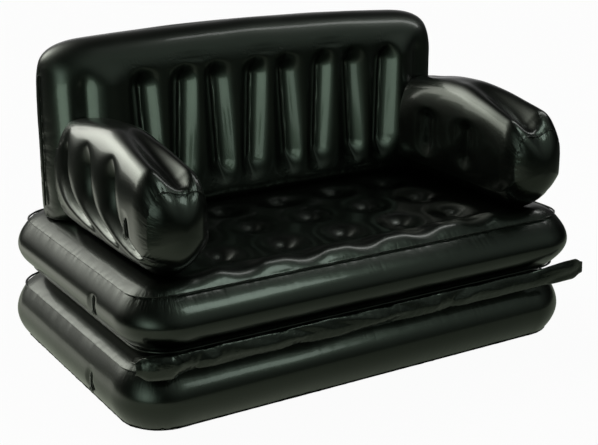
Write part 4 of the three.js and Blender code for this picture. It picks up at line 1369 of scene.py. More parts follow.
    def film(self) -> Object:
        """Lofts the film, with its puckers, posts and foot creases, before its ribs are pressed.

        Returns:
            The object.
        """
        skin = Skin()
        x, thick = self.stations()
        share, height = self.profile()
        top = self.top(x)
        scale = (top - SIZE.foot) / (SIZE.back_top - SIZE.foot)
        z = SIZE.foot + height[None] * scale[:, None]
        reach = SIZE.back_depth / 2 * thick[:, None] * share[None]
        xs = np.broadcast_to(x[:, None], z.shape)
        end_away = run_length(x, SIZE.back_depth / 2 * thick)
        end_away = np.minimum(end_away, end_away[-1] - end_away)[:, None]
        upward = run_length(share * SIZE.back_depth / 2, height)
        numbers = []
        for side, seed in ((-1, 31), (1, 47)):
            face = side < 0
            y = SIZE.back_middle + side * reach
            if face:
                y = y + self.lean(xs, z) * share[None]
            pucker = Pucker(0.0034, 0.045, 0.03, seed).swell(z, end_away + 0 * z)
            loose = Noise(seed + 3)(xs * 8, z * 7) * 0.0016 * ease(end_away, 0.0, 0.06)
            foot = Pucker(0.0022, 0.03, 0.02, seed + 7).swell(xs, np.abs(z - SIZE.foot - 0.03))
            swell = pucker + loose + foot * (height > 0.004)[None]
            if face:
                swell = swell + self.post(xs, z)
                wide = bell((xs / self.crease_pitch + 0.5) % 2 - 0.5, 0, 0.36)
                head = bell(z, self.rib_head + 0.006, 0.006) + 0.6 * bell(z, self.rib_head + 0.02, 0.005)
                swell = swell - 0.0028 * head * wide * (np.abs(xs) < 0.44)
            weld = np.clip(np.exp(-end_away / 0.035) + (self.near_ribs(xs, z) if face else 0 * z), 0, 1)
            place = np.stack([z, xs, side * upward[None] + 0 * z], axis=-1)
            columns = slice(None) if face else slice(1, -1)
            grids = (np.stack([xs, y, z], -1), place, swell, weld)
            numbers.append(skin.add(*(grid[:, columns] for grid in grids)))
        front, rear = numbers
        skin.sheet(np.concatenate([front, rear[:, ::-1]], axis=1), closed=True)
        for row in (0, -1):
            pairs = np.stack([front[row], np.concatenate([front[row][:1], rear[row], front[row][-1:]])])
            self.close(skin, pairs)
        return skin.build("backrest_film", Finish.BACK.material())

    def build(self, trimmer: Trimmer) -> None:
        """Builds the film, presses its ribs and adds the end lips.

        Args:
            trimmer: Presses the ribs and makes the lips.
        """
        film = self.film()
        trimmer.press.run(
            film,
            Finish.BACK.material(),
            Along_X=1.0,
            Press_Y=1.0,
            Middle_Y=SIZE.back_middle,
            First=-self.rib_count * self.valley_pitch / 2 + self.valley_shift,
            Pitch=self.valley_pitch,
            Count=float(self.rib_count + 1),
            Depth=self.rib_depth,
            Foot=self.rib_foot,
            Head=self.rib_head,
            Fade=self.rib_fade,
            Head_Fade=self.head_fade,
            Half_Width=0.06,
            Sway=0.16,
            Softness=0.3,
        )
        settle(film, Body.SEAT, Slot.CHAMBER, "backrest_chamber")
        for side in Side:
            heights = np.linspace(self.lip_foot, self.lip_head, 80)
            place = side.value * (SIZE.back_half + 0.0003)
            points = np.column_stack([0 * heights + place, 0 * heights + SIZE.back_middle, heights])
            outward = np.tile([float(side.value), 0.0, 0.0], (len(heights), 1))
            name = f"backrest_{side.name.lower()}"
            trimmer.lip(f"{name}_lip", Line(points, outward, False), Body.SEAT, f"{name}_seam")

    @staticmethod
    def close(skin: Skin, pairs: Array) -> None:
        """Closes an end between its front row and its rear row, which share their first and last points."""
        a, b = pairs
        skin.triangles.append(np.array([[a[0], a[1], b[1]], [a[-1], a[-2], b[-2]]]))
        skin.quads.append(np.stack([a[1:-2], a[2:-1], b[2:-1], b[1:-2]], axis=-1))


# The arms


@dataclass
class Arm:
    """One arm: a long pillow with creased sides and a bulging front panel.

    Args:
        side: The left arm or the right one.
        back: The backrest that it is welded to.
        valve: The valve in its outer side, if it has one.
    """

    side: Side
    back: Backrest
    valve: "Valve | None" = None
    # The crown: its height where it is highest, where that is, and how steeply it falls from there
    top: float = 0.75
    peak_y: float = -0.09
    top_fall: float = 0.1
    # The front panel: how far it bulges past its seam, and how fully
    front_round: float = 0.04
    panel_power: float = 2.6
    # The seam: how far the crown drops, the underside lifts and the sides draw in, and over what run
    brow_drop: float = 0.036
    chin_lift: float = 0.014
    cheek_draw: float = 0.012
    brow_run: float = 0.06
    # The crown's long hollow: its depth, its place across, its reach to each side and its length
    hollow: float = 0.044
    hollow_middle: float = -0.014
    hollow_reach: float = 0.046
    hollow_run: float = 0.33
    # The underside: how far it cuts into the round section, and its lift at the sides and at the toe
    sink: float = 0.024
    under_lift: float = 0.068
    toe_lift: float = 0.036
    toe_run: float = 0.11
    # The rear: how far its outer side draws in, over what run, and from where on it meets the back
    rear_taper: float = 0.04
    rear_run: float = 0.1
    meet_y: float = 0.08
    # How square the section is above its middle and below, where less is squarer
    bulge_power: float = 0.7
    foot_power: float = 0.8
    # The outer creases: where the rearmost lies, their pitch and their depth
    crease_first: float = 0.13
    crease_pitch: float = 0.16
    crease_depth: float = 0.036
    # Steps of the mesh round the section, along the arm and in to the panel's middle
    sides: int = 176
    long_steps: int = 96
    panel_steps: int = 24

    BACK_GAP = 0.001
    REAR_HUB = 0.57
    CROWN_HALF = 0.062

    @property
    def seam_y(self) -> float:
        """Where the front panel's seam lies, front to back."""
        return SIZE.arm_front + self.front_round

    def section(self, y: Array) -> tuple[Array, Array, Array]:
        """Rings across the arm at places along it.

        Args:
            y: The places, front to back, as a column.

        Returns:
            Distances out from the arm's middle plane, heights, and heights of the middle.
        """
        angle = np.linspace(0, 2 * math.pi, self.sides + 1)[None, :-1] - math.pi / 2
        reach = -SIZE.arm_front
        foot = SIZE.foot + self.toe_lift * ease(-y, reach - self.toe_run, reach)
        top = self.top - self.top_fall * ((y - self.peak_y) / reach) ** 2
        brow = np.clip((-y + self.seam_y + self.brow_run) / self.brow_run, 0, 1) ** 2
        top = top - self.brow_drop * brow
        foot = foot + self.chin_lift * brow
        middle = (top + foot - self.sink) / 2
        high = (top - foot + self.sink) / 2
        rise, run = np.sin(angle), np.cos(angle)
        power = np.where(rise < 0, self.foot_power, self.bulge_power)
        up = np.sign(rise) * np.abs(rise) ** power
        out = np.sign(run) * np.abs(run) ** power
        rear = SIZE.back_middle - SIZE.back_depth / 2
        taper = self.rear_taper * ease(y, rear - 0.8 * self.rear_run, rear + 0.3 * self.rear_run)
        wide = SIZE.arm_width / 2 - np.where(out > 0, taper, 0) - self.cheek_draw * brow
        under = foot + self.under_lift * out**2
        hollow = self.hollow * ease(-y, -self.seam_y - self.hollow_run, -self.seam_y - 0.05)
        hollow = hollow * (1 - 0.45 * ease(-y, -self.seam_y - 0.05, -self.seam_y))
        hollow = hollow * np.maximum(rise, 0) * bell(wide * out, self.hollow_middle, self.hollow_reach)
        return wide * out, np.maximum(middle + high * up - hollow, under), middle

    def groove(self, out: Array, y: Array, z: Array, middle: Array) -> Array:
        """How deep the top's long valley is, between its outer band and its inner ridge."""
        crown = ease(z - middle, 0.05, 0.11)
        line = bell(out, -0.012 - 0.012 * ease(-y, 0.1, 0.4), 0.024)
        deep = 0.005 * ease(-y, -0.02, 0.12) + 0.006 * bell(y, -0.36, 0.05)
        return -deep * line * crown * ease(-y, -0.1, 0.0) * (1 - ease(-y, 0.385, 0.412))

    def film(self) -> Object:
        """Builds the film, from its front panel to the backrest, before its creases are pressed.

        Returns:
            The object.
        """
        sign = self.side.value
        seed = 60 + 20 * sign
        skin = Skin()
        rear = SIZE.back_middle - SIZE.back_depth / 2
        y = np.linspace(self.seam_y, rear, self.long_steps + 1)[:, None]
        out, z, middle = self.section(y)
        x = sign * (SIZE.arm_middle + out)
        rest = self.back.front(x, z) - self.BACK_GAP
        y = y + (rest - rear) * ease(y, self.meet_y, rear) + 0 * out
        ring = run_length(np.append(out[0], out[0, 0]), np.append(z[0], z[0, 0]))
        around, total = ring[:-1], ring[-1]
        away = y - self.seam_y
        crown = 0.25 + 0.75 * (z[0] > middle[0])[None]
        swell = crown * Pucker(0.0016, 0.015, 0.018, seed).swell(around[None], np.maximum(away, 0), total)
        foot_away = np.abs(z - SIZE.foot - 0.028)
        swell = swell + Pucker(0.003, 0.03, 0.022, seed + 5).swell(y, foot_away)
        swell = swell + self.groove(out, y, z, middle)
        swell = swell + 0.0022 * Noise(seed + 9, 8)(around[None] * 8 / total, y * 11) * ease(away, 0, 0.06)
        swell = swell * (1 - ease(y, 0.11, 0.16)) * ease(z - SIZE.foot, 0.001, 0.02)
        weld = np.exp(-np.maximum(away, 0) / 0.03) + 0.7 * np.exp(-foot_away / 0.02)
        turn = around * 2 * math.pi / total
        radius = total / (2 * math.pi)
        place = np.stack(np.broadcast_arrays(radius * np.cos(turn), radius * np.sin(turn), y), axis=-1)
        body = skin.add(np.stack([x, y, z], -1), place, swell, np.clip(weld, 0, 1))
        skin.sheet(body, closed=True)
        skin.fan(body[-1], np.array([sign * SIZE.arm_middle, rear, self.REAR_HUB]))
        self.panel(skin, body[0], x[0], z[0], float(middle[0, 0]), place[0], around, total)
        return skin.build(f"{self.side.name.lower()}_arm_film", Finish.CHAMBER.material())

    def press(self, press: PressTree, film: Object) -> None:
        """Presses the three outer creases and the two shallow inner ones.

        Args:
            press: Presses them.
            film: The arm's film.
        """
        sign = float(self.side.value)
        shared = {"Along_X": 0.0, "Along_Y": -1.0, "Press_Y": 0.0, "Middle_X": sign * SIZE.arm_middle}
        shared |= {"Half_Width": SIZE.arm_width / 2, "Fade": 0.04}
        outer = {"Press_X": -sign, "First": -self.crease_first, "Pitch": self.crease_pitch, "Count": 3.0}
        outer |= {"Depth": self.crease_depth, "Foot": 0.468, "Head": 0.715, "Head_Fade": 0.085}
        outer |= {"Lean": 0.2, "Bend": 5.0}
        inner = {"Press_X": sign, "First": -0.015, "Pitch": 0.195, "Count": 2.0}
        inner |= {"Depth": 0.018, "Foot": 0.5, "Head": 0.66}
        for face in (outer, inner):
            press.run(film, Finish.CHAMBER.material(), **(shared | face))

    def front_line(self) -> Line:
        """The line over the crown along which the front panel's weld shows."""
        out, z, middle = self.section(np.array([[self.seam_y]]))
        centre = self.side.value * SIZE.arm_middle
        crown = np.flatnonzero((z[0] > middle[0]) & (np.abs(out[0] + 0.008) < self.CROWN_HALF))
        x = centre + self.side.value * out[0][crown]
        points = np.stack([x, 0 * x + self.seam_y, z[0][crown]], -1)
        outward = np.stack([0.3 * (x - centre) / 0.1, 0 * x - 0.75, 0 * x + 0.6], -1)
        outward /= np.linalg.norm(outward, axis=1, keepdims=True)
        return Line(points + outward * 0.0006, outward, False)

    def build(self, trimmer: Trimmer) -> None:
        """Builds the film, presses its creases and adds the front lip.

        Args:
            trimmer: Presses the creases and makes the lip.
        """
        film = self.film()
        self.press(trimmer.press, film)
        if self.valve:
            self.valve.recess(film)
        name = self.side.name.lower() + "_arm"
        settle(film, Body.SEAT, Slot.CHAMBER, f"{name}_chamber")
        line, seam = self.front_line(), f"{name}_front_seam"
        trimmer.lip(f"{name}_front_lip", line, Body.SEAT, seam, width=0.004, ruffle=0.002)

    def panel(
        self,
        skin: Skin,
        rim: Array,
        x: Array,
        z: Array,
        middle: float,
        place: Array,
        around: Array,
        total: float,
    ) -> None:
        """Adds the bulging front panel inside its seam.

        Args:
            skin: Where the panel is added.
            rim: Numbers of the seam's points.
            x: Their places across.
            z: Their heights.
            middle: Height of the panel's middle.
            place: Their places on the film.
            around: Lengths round the seam at each point.
            total: The seam's whole length.
        """
        share = 1 - np.linspace(0, 1, self.panel_steps + 1)[1:-1, None] ** 1.4
        bulge = self.front_round * (1 - share**self.panel_power)
        centre = self.side.value * SIZE.arm_middle
        flat = centre + (x - centre)[None] * share
        points = np.stack([flat, self.seam_y - bulge + 0 * flat, middle + (z - middle)[None] * share], -1)
        away = run_length((share[:, 0] - 1) * 0.12, bulge[:, 0])[:, None] + 0.006
        pucker = Pucker(0.0022, 0.015, 0.018, 90 + self.side.value)
        crown = ease(z - middle, -0.02, 0.06)[None]
        toe = ease(middle - z, 0.06, 0.1)[None]
        swell = pucker.swell(around[None], away, total) * (0.12 + 0.88 * crown + 0.5 * toe)
        places = place[None] + np.array([0.0, 0.0, -1.0]) * away[..., None]
        rows = skin.add(points, places, swell, np.exp(-away / 0.03) + 0 * x[None])
        skin.sheet(np.concatenate([rim[None], rows]), closed=True)
        skin.fan(rows[-1], np.array([centre, self.seam_y - self.front_round, middle]))


# The hinge web


@dataclass
class HingeWeb:
    """The loose sheet between the tiers, with its flattened tube end and its hanging flap.

    Args:
        left: Where its left end lies, across.
        right: Where its right end lies.
        flat_width: How wide it is laid flat.
        fold_length: How much its folds add to its length laid flat, which is not used.
        thickness: The film's thickness.
        long_steps: Steps of the mesh along it.
        across_steps: Its steps across it.

    BAND is its line between its two ROOTS along most of it, FLAP its line at the flap on the left, and
    TUBE at the tube's end on the right, all front to back and up. CURVED is how much of the line is a
    smooth curve, PINCH how far it narrows at each tip, and CREASING how strongly its finish creases.
    Each of FOLDS is a height, how many there are to the metre, a slant and a start.
    """

    left: float = -0.752
    right: float = 0.7365
    flat_width: float = 0.15
    fold_length: float = 0.025
    thickness: float = 0.0009
    long_steps: int = 420
    across_steps: int = 30

    ROOTS = ((-0.4415, 0.2285), (-0.4285, 0.1715))
    BAND = ((-0.456, 0.2315), (-0.4675, 0.2335), (-0.4785, 0.205), (-0.469, 0.182), (-0.452, 0.1755))
    FLAP = ((-0.47, 0.238), (-0.485, 0.243), (-0.497, 0.229), (-0.4995, 0.208), (-0.497, 0.191))
    FLAP_EDGE = (-0.4905, 0.177)
    TUBE = ((-0.4905, 0.25), (-0.4965, 0.259), (-0.4998, 0.226), (-0.4955, 0.196), (-0.4905, 0.19))
    TUBE_ROOTS = ((-0.4865, 0.24), (-0.4865, 0.2))
    FLAP_END = (-0.67, -0.6)
    TUBE_START = (0.54, 0.66)
    LEFT_TIP = 0.03
    RIGHT_TIP = 0.035
    PINCH = 0.45
    CURVED = 0.3
    CREASING = 0.55
    FOLDS = ((0.0044, 3.4, 0.9, 0.0), (0.0011, 9.0, -1.6, 0.3), (0.0003, 37.0, 2.6, 0.7))

    def path(self, x: float) -> Array:
        """The sheet's line across at a place along it, as rows of y and z.

        Args:
            x: The place.

        Returns:
            The points, from the upper root to the lower one or the flap's edge.
        """
        band = np.array([self.ROOTS[0], *self.BAND, self.ROOTS[1]])
        flap = np.array([self.ROOTS[0], *self.FLAP, self.FLAP_EDGE])
        tube = np.array([self.TUBE_ROOTS[0], *self.TUBE, self.TUBE_ROOTS[1]])
        hang = float(1 - ease(x, *self.FLAP_END))
        tail = float(ease(x, *self.TUBE_START))
        line = band * (1 - hang - tail) + flap * hang + tube * tail
        corner = SIZE.corner
        past = min(max(-x - SIZE.width / 2 + corner + 0.01, 0.0), 0.9 * corner)
        line[:, 0] += 0.45 * (corner - math.sqrt(corner**2 - past**2))
        right_tip = float(ease(x, self.right - self.RIGHT_TIP, self.right))
        left_tip = float(1 - ease(x, self.left, self.left + self.LEFT_TIP))
        middle = line.mean(0)
        return middle + (line - middle) * (1 - self.PINCH * max(right_tip, left_tip))

    def crumple(self, u: Array, v: Array) -> Array:
        """How far the sheet's flat facets stand out, between sharp folds.

        Args:
            u: Places along the sheet, in metres.
            v: Shares of the way across it.

        Returns:
            The displacement along the sheet's normal, in metres.
        """
        bend = 0.7 * Noise(205)(u * 6, v * 2)
        total = 0 * u * v
        for height, pitch, slant, start in self.FOLDS:
            phase = u * pitch + v * slant + bend + start
            total = total + height * (4 * np.abs(phase - np.floor(phase + 0.5)) - 1)
        return total * (1 - 0.5 * ease(u, 0.05, 0.45))

    def build(self) -> None:
        """Builds the sheet, its creases and its thickness."""
        xs = np.linspace(self.left, self.right, self.long_steps + 1)
        rows = []
        for x in xs:
            line = self.path(float(x))
            length = run_length(line[:, 0], line[:, 1])
            even = np.linspace(0, length[-1], self.across_steps + 1)
            curved = [self.curve(length, values, even) for values in line.T]
            straight = [np.interp(even, length, values) for values in line.T]
            y, z = (self.CURVED * c + (1 - self.CURVED) * s for c, s in zip(curved, straight))
            rows.append(np.column_stack([np.full(len(even), x), y, z]))
        points = np.array(rows)
        v = np.linspace(0, 1, self.across_steps + 1)[None]
        u = xs[:, None]
        offset = self.crumple(u, v) * np.sin(math.pi * v) ** 0.6
        normals = np.cross(np.gradient(points, axis=0), np.gradient(points, axis=1))
        normals /= np.linalg.norm(normals, axis=2, keepdims=True)
        points = points + normals * offset[..., None]
        skin = Skin()
        place = np.stack(np.broadcast_arrays(u, v * self.flat_width, 0 * u * v), axis=-1)
        skin.sheet(skin.add(points, place, 0.0, self.CREASING))
        made = skin.build("hinge_web_sheet", Finish.WEB.material())
        wall = made.modifiers.new("wall", "SOLIDIFY")
        wall.thickness, wall.offset = self.thickness, 0.0
        bake(made, wall)
        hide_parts("hinge_web_upper", "hinge_web_lower")
        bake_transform(made)
        faces = len(made.data.polygons)
        LOG.info("hinge_web_sheet: %d faces between %s and %s", faces, Body.SEAT.value, Body.BASE.value)

    @staticmethod
    def curve(length: Array, values: Array, even: Array) -> Array:
        """Values on a smooth curve through points, read at even lengths.

        Args:
            length: Lengths of the points along the line.
            values: Their values.
            even: Lengths at which to read.

        Returns:
            The values there.
        """
        slope = np.gradient(values, length)
        i = np.clip(np.searchsorted(length, even, side="right") - 1, 0, len(length) - 2)
        step = length[i + 1] - length[i]
        t = np.clip((even - length[i]) / step, 0, 1)
        h00, h10 = 2 * t**3 - 3 * t**2 + 1, t**3 - 2 * t**2 + t
        h01, h11 = -2 * t**3 + 3 * t**2, t**3 - t**2
        return h00 * values[i] + h10 * step * slope[i] + h01 * values[i + 1] + h11 * step * slope[i + 1]


# The valves


@dataclass
class Valve:
    """A moulded valve: a teardrop flange with its stem, and a plug on a strap.

    Args:
        owner: What its nodes' names start with.
        body: The body that the flange rides on.
        plug: The body that the plug rides on.
        mouth: The middle of its bore on the chamber's side.
    """

    owner: str
    body: Body
    plug: Body
    mouth: tuple[float, float, float]
    # The flange: the radii of its wide and narrow ends, the distance between them, and its thickness
    low_radius: float = 0.014
    high_radius: float = 0.008
    span: float = 0.038
    plate: float = 0.002
    # The radii of the bore and the stem, how far the stem reaches in, and the points round the flange
    bore: float = 0.0063
    stem: float = 0.0085
    stem_length: float = 0.0157
    sides: int = 64

    FILM_GAP = 0.0004
    RECESS = (0.003, 0.017)
    RECESS_DEPTH = 0.03

    def world(self, points: Array) -> Array:
        """Places in the sofa's frame of points in the valve's: across, up and out of the chamber."""
        axes = np.array([[0.0, -1.0, 0.0], [0.0, 0.0, 1.0], [-1.0, 0.0, 0.0]])
        return np.asarray(points) @ axes + np.array(self.mouth)

    def teardrop(self, inset: float = 0.0) -> Array:
        """The flange's outline, set in by inset, as rows of x and y."""
        low, high = self.low_radius - inset, self.high_radius - inset
        lean = math.asin((low - high) / self.span)
        under = np.linspace(math.pi - lean, 2 * math.pi + lean, self.sides * 5 // 8)
        over = np.linspace(lean, math.pi - lean, self.sides - len(under))
        wide = np.column_stack([low * np.cos(under), low * np.sin(under)])
        narrow = np.column_stack([high * np.cos(over), self.span + high * np.sin(over)])
        return np.concatenate([wide, narrow])

    def circle(self, radius: float) -> Array:
        """A circle round the bore with a point for each of the outline's."""
        outline = self.teardrop()
        return radius * outline / np.linalg.norm(outline, axis=1, keepdims=True)

    def rings(self, skin: Skin, levels: Sequence[tuple[Array, float]]) -> Array:
        """Adds rings of points, from outlines and their heights out of the chamber."""
        points = [np.column_stack([flat, np.full(len(flat), z)]) for flat, z in levels]
        places = self.world(np.array(points))
        return skin.add(places, places)

    def caps(self, skin: Skin, numbers: Array, middle: tuple[float, float], low: float, high: float) -> None:
        """Closes the first and the last ring, whose middles lie at low and high."""
        for row, z in ((0, low), (-1, high)):
            skin.fan(numbers[row], self.world(np.array([*middle, z])))

    def flange(self) -> Object:
        """The flange, its collar and its stem as one turned shell."""
        skin = Skin()
        plate, bore, stem, deep = self.plate, self.bore, self.stem, self.stem_length
        rim = (
            (0.0006, 0.0),
            (0.0, 0.0005),
            (0.0, plate - 0.0006),
            (0.0006, plate),
            (0.0018, plate),
            (0.0023, plate - 0.0004),
            (0.0038, plate - 0.0004),
        )
        turned = (
            (0.0096, plate - 0.0004),
            (0.0092, plate + 0.0001),
            (bore + 0.0007, plate + 0.0001),
            (bore, plate - 0.0006),
            (bore, -deep),
            (stem - 0.0005, -deep),
            (stem, -deep + 0.0005),
            (stem, -0.0006),
            (stem + 0.0006, 0.0),
        )
        levels = [(self.teardrop(inset), z) for inset, z in rim]
        levels += [(self.circle(radius), z) for radius, z in turned]
        numbers = self.rings(skin, levels)
        skin.sheet(np.concatenate([numbers, numbers[:1]]), closed=True)
        root = [(0.0037, self.span - 0.0032), (0.004, self.span + 0.0029)]
        self.block(skin, root, self.plate - 0.0006, self.plate + 0.0021)
        return skin.build(self.owner + "_valve_flange", Finish.VALVE.material())

    def block(self, skin: Skin, reach: Sequence[tuple[float, float]], low: float, high: float) -> None:
        """Adds a bar with rounded edges, from one half width and place up to another.

        Args:
            skin: Where it is added.
            reach: Its half widths and places up the valve, at its ends.
            low: How far out of the chamber it starts.
            high: How far out it ends.
        """
        soft = 0.0005
        turn = 2 * soft
        outline = []
        (w0, y0), (w1, y1) = reach
        for centre_x, centre_y, start in ((w1, y1, 0), (-w1, y1, 90), (-w0, y0, 180), (w0, y0, 270)):
            for angle in np.radians(start + np.linspace(0, 90, 4)):
                middle_x = centre_x - math.copysign(turn, centre_x)
                middle_y = centre_y - (turn if start < 180 else -turn)
                outline.append((middle_x + turn * math.cos(angle), middle_y + turn * math.sin(angle)))
        flat = np.array(outline)
        hub = flat.mean(0)
        inner = hub + (flat - hub) * (1 - soft / np.linalg.norm(flat - hub, axis=1, keepdims=True))
        levels = [(inner, low), (flat, low + soft), (flat, high - soft), (inner, high)]
        numbers = self.rings(skin, levels)
        skin.sheet(numbers, closed=True)
        self.caps(skin, numbers, (hub[0], hub[1]), low, high)

    def stopper(self) -> Object:
        """The plug with its grip, and the strap that it hangs on."""
        skin = Skin()
        turned = [
            (0.0038, -0.0057),
            (0.0044, -0.0052),
            (0.0052, -0.0022),
            (0.0047, -0.0012),
            (0.0056, 0.0014),
            (0.0059, 0.0023),
            (0.0081, 0.0023),
            (0.0086, 0.0028),
            (0.0086, 0.004),
            (0.008, 0.0047),
            (0.0062, 0.0049),
            (0.0054, 0.0043),
            (0.0016, 0.0043),
        ]
        angle = np.linspace(0, 2 * math.pi, 49)[:-1]
        unit = np.column_stack([np.cos(angle), np.sin(angle)])
        numbers = self.rings(skin, [(unit * radius, z) for radius, z in turned])
        skin.sheet(numbers, closed=True)
        self.caps(skin, numbers, (0.0, 0.0), turned[0][1], turned[-1][1])
        self.block(skin, [(0.0036, 0.0066), (0.004, self.span - 0.0037)], 0.0024, 0.0041)
        self.block(skin, [(0.0012, -0.0042), (0.0012, 0.0042)], 0.004, 0.0053)
        for step in range(3):
            place = 0.0125 + 0.006 * step
            self.block(skin, [(0.0034, place), (0.0034, place + 0.0022)], 0.0037, 0.0046)
        return skin.build(self.owner + "_valve_stopper", Finish.PLUG.material())

    def build(self) -> None:
        """Builds the flange and the plug."""
        settle(self.flange(), self.body, Slot.VALVE, self.owner + "_valve_body")
        settle(self.stopper(), self.plug, Slot.PLUG, self.owner + "_valve_plug")

    def recess(self, film: Object) -> None:
        """Sinks the film of a chamber's side round the flange.

        Args:
            film: The chamber's film, whose points by the valve are moved in.
        """
        held = np.zeros(len(film.data.vertices) * 3, np.float32)
        film.data.vertices.foreach_get("co", held)
        points = held.reshape(-1, 3).astype(float)
        across = self.mouth[1] - points[:, 1]
        up = points[:, 2] - self.mouth[2]
        share = np.clip(up / self.span, 0, 1)
        outline = self.low_radius + (self.high_radius - self.low_radius) * share
        away = np.hypot(across, up - share * self.span) - outline
        beside = np.abs(points[:, 0] - self.mouth[0]) < self.RECESS_DEPTH
        near = (1 - ease(away, *self.RECESS)) * beside
        points[:, 0] += np.maximum(self.mouth[0] + self.FILM_GAP - points[:, 0], 0) * near
        film.data.vertices.foreach_set("co", points.astype(np.float32).ravel())
        film.data.update()


# The studio


def direction(azimuth: float, elevation: float) -> Vector:
    """The unit vector of a direction given in degrees, from the front towards the right and up."""
    a, e = math.radians(azimuth), math.radians(elevation)
    return Vector((math.sin(a) * math.cos(e), -math.cos(a) * math.cos(e), math.sin(e)))


@dataclass(frozen=True)
class Softbox:
    """A soft lamp that faces the sofa.

    Args:
        name: The lamp's name.
        azimuth: Its direction in degrees, from the front towards the right.
        elevation: Its height above the horizon in degrees.
        distance: How far it stands off.
        size: Its width and height.
        level: How bright its face is, where 1 is white.
        aim: What it faces.
        tint: Its colour.
        lit: Name of the group that it lights where flags keep it off the rest, or nothing.
    """

    name: str
    azimuth: float
    elevation: float
    distance: float
    size: tuple[float, float]
    level: float
    aim: tuple[float, float, float] = (0.0, 0.0, 0.4)
    tint: tuple[float, float, float] = (1.0, 1.0, 1.0)
    lit: str = ""

    def build(self) -> None:
        """Places the lamp."""
        data = bpy.data.lights.new(self.name, "AREA")
        data.shape = "RECTANGLE"
        data.size, data.size_y = self.size
        data.energy = self.level * math.pi * self.size[0] * self.size[1]
        data.color = self.tint
        lamp = bpy.data.objects.new(self.name, data)
        way = direction(self.azimuth, self.elevation)
        lamp.location = Vector(self.aim) + way * self.distance
        lamp.rotation_euler = (-way).to_track_quat("-Z", "Y").to_euler()
        bpy.context.scene.collection.objects.link(lamp)


@dataclass(frozen=True)
class Glow:
    """A wide glow of the studio's walls or ceiling in one direction."""

    azimuth: float
    elevation: float
    level: float
    power: float
    tint: tuple[float, float, float] = (1.0, 1.0, 1.0)


@dataclass(frozen=True)
class Studio:
    """The floor, the room's glow and the lamps."""

    # How bright the room is between its glows, and what the camera sees past the floor
    room: float = 0.003
    backdrop: float = 0.96
    glows: tuple[Glow, ...] = (
        Glow(-152, 36, 5.6, 18.0, (1.0, 1.0, 0.93)),
        Glow(-58, 14, 2.0, 24.0, (0.8, 1.0, 0.88)),
        Glow(30, 42, 0.35, 6.0, (0.84, 1.0, 0.88)),
        Glow(150, 0, 0.7, 14.0),
    )
    lamps: tuple[Softbox, ...] = (
        Softbox("front_right_softbox", 31, 55, 3.1, (1.0, 0.75), 4.6, tint=(0.85, 1.0, 0.92), lit="tiers"),
        Softbox("base_softbox", 26, 36, 3.0, (0.9, 0.6), 3.4, (0.0, -0.45, 0.15), (0.85, 1.0, 0.92), "base"),
        Softbox("right_strip", 92, 52, 3.2, (0.35, 2.6), 4.0),
        Softbox(
            "rib_softbox", -60, -7, 2.6, (1.6, 1.0), 2.8, (0.0, 0.15, 0.68), (0.8, 1.0, 0.86), "backrest"
        ),
        Softbox("arm_softbox", -144, 24, 3.0, (2.8, 1.6), 2.6, (0.0, 0.0, 0.55), (1.0, 1.0, 0.92), "arms"),
    )
    # The groups of pieces that some of the lamps light alone
    flagged: tuple[tuple[str, tuple[str, ...]], ...] = (
        ("backrest", ("backrest_film",)),
        ("base", ("base_film",)),
        ("arms", ("left_arm_film", "right_arm_film")),
        ("tiers", ("seat_film", "base_film", "left_arm_film", "right_arm_film", "hinge_web_sheet")),
    )

    def world(self) -> None:
        """Makes the room's glow by direction."""
        world = bpy.data.worlds.new("studio_room")
        world.use_nodes = True
        bpy.context.scene.world = world
        net = Net(world.node_tree)
        net.tree.nodes.clear()
        way = net.node("ShaderNodeTexCoord").outputs["Generated"]
        total: object = (self.room,) * 3
        for glow in self.glows:
            axis = direction(glow.azimuth, glow.elevation)
            near = net.math("MAXIMUM", net.dot(way, axis), 0.0) ** glow.power
            colour = net.scaled(tuple(c * glow.level for c in glow.tint), near)
            total = net.vector("ADD", total, colour).outputs[0]
        camera = Value(net, net.node("ShaderNodeLightPath").outputs["Is Camera Ray"])
        seen = net.mixed(camera, total, (self.backdrop,) * 3)
        shine = net.node("ShaderNodeBackground", None, {"Color": seen, "Strength": 1.0})
        net.node("ShaderNodeOutputWorld", None, {"Surface": shine.outputs[0]})

    def floor(self) -> None:
        """Lays the pale floor, whose glow in the film's reflections is painted light and shade."""
        mesh = bpy.data.meshes.new("studio_floor")
        reach = 40.0
        corners = [(-reach, -reach, 0.0), (reach, -reach, 0.0), (reach, reach, 0.0), (-reach, reach, 0.0)]
        mesh.from_pydata(corners, [], [(0, 1, 2, 3)])
        placed("studio_floor", mesh, FloorFinish().material())

    def flag(self) -> None:
        """Keeps the flagged lamps off every piece but those that they light."""
        for group, pieces in self.flagged:
            lit = bpy.data.collections.new("lit_" + group)
            for name in pieces:
                lit.objects.link(bpy.data.objects[name])
            for lamp in self.lamps:
                if lamp.lit == group:
                    linking = bpy.data.objects[lamp.name].light_linking
                    linking.receiver_collection = linking.blocker_collection = lit

    def build(self) -> None:
        """Builds the whole studio."""
        self.world()
        self.floor()
        for lamp in self.lamps:
            lamp.build()
        bpy.context.scene.view_settings.view_transform = "Standard"


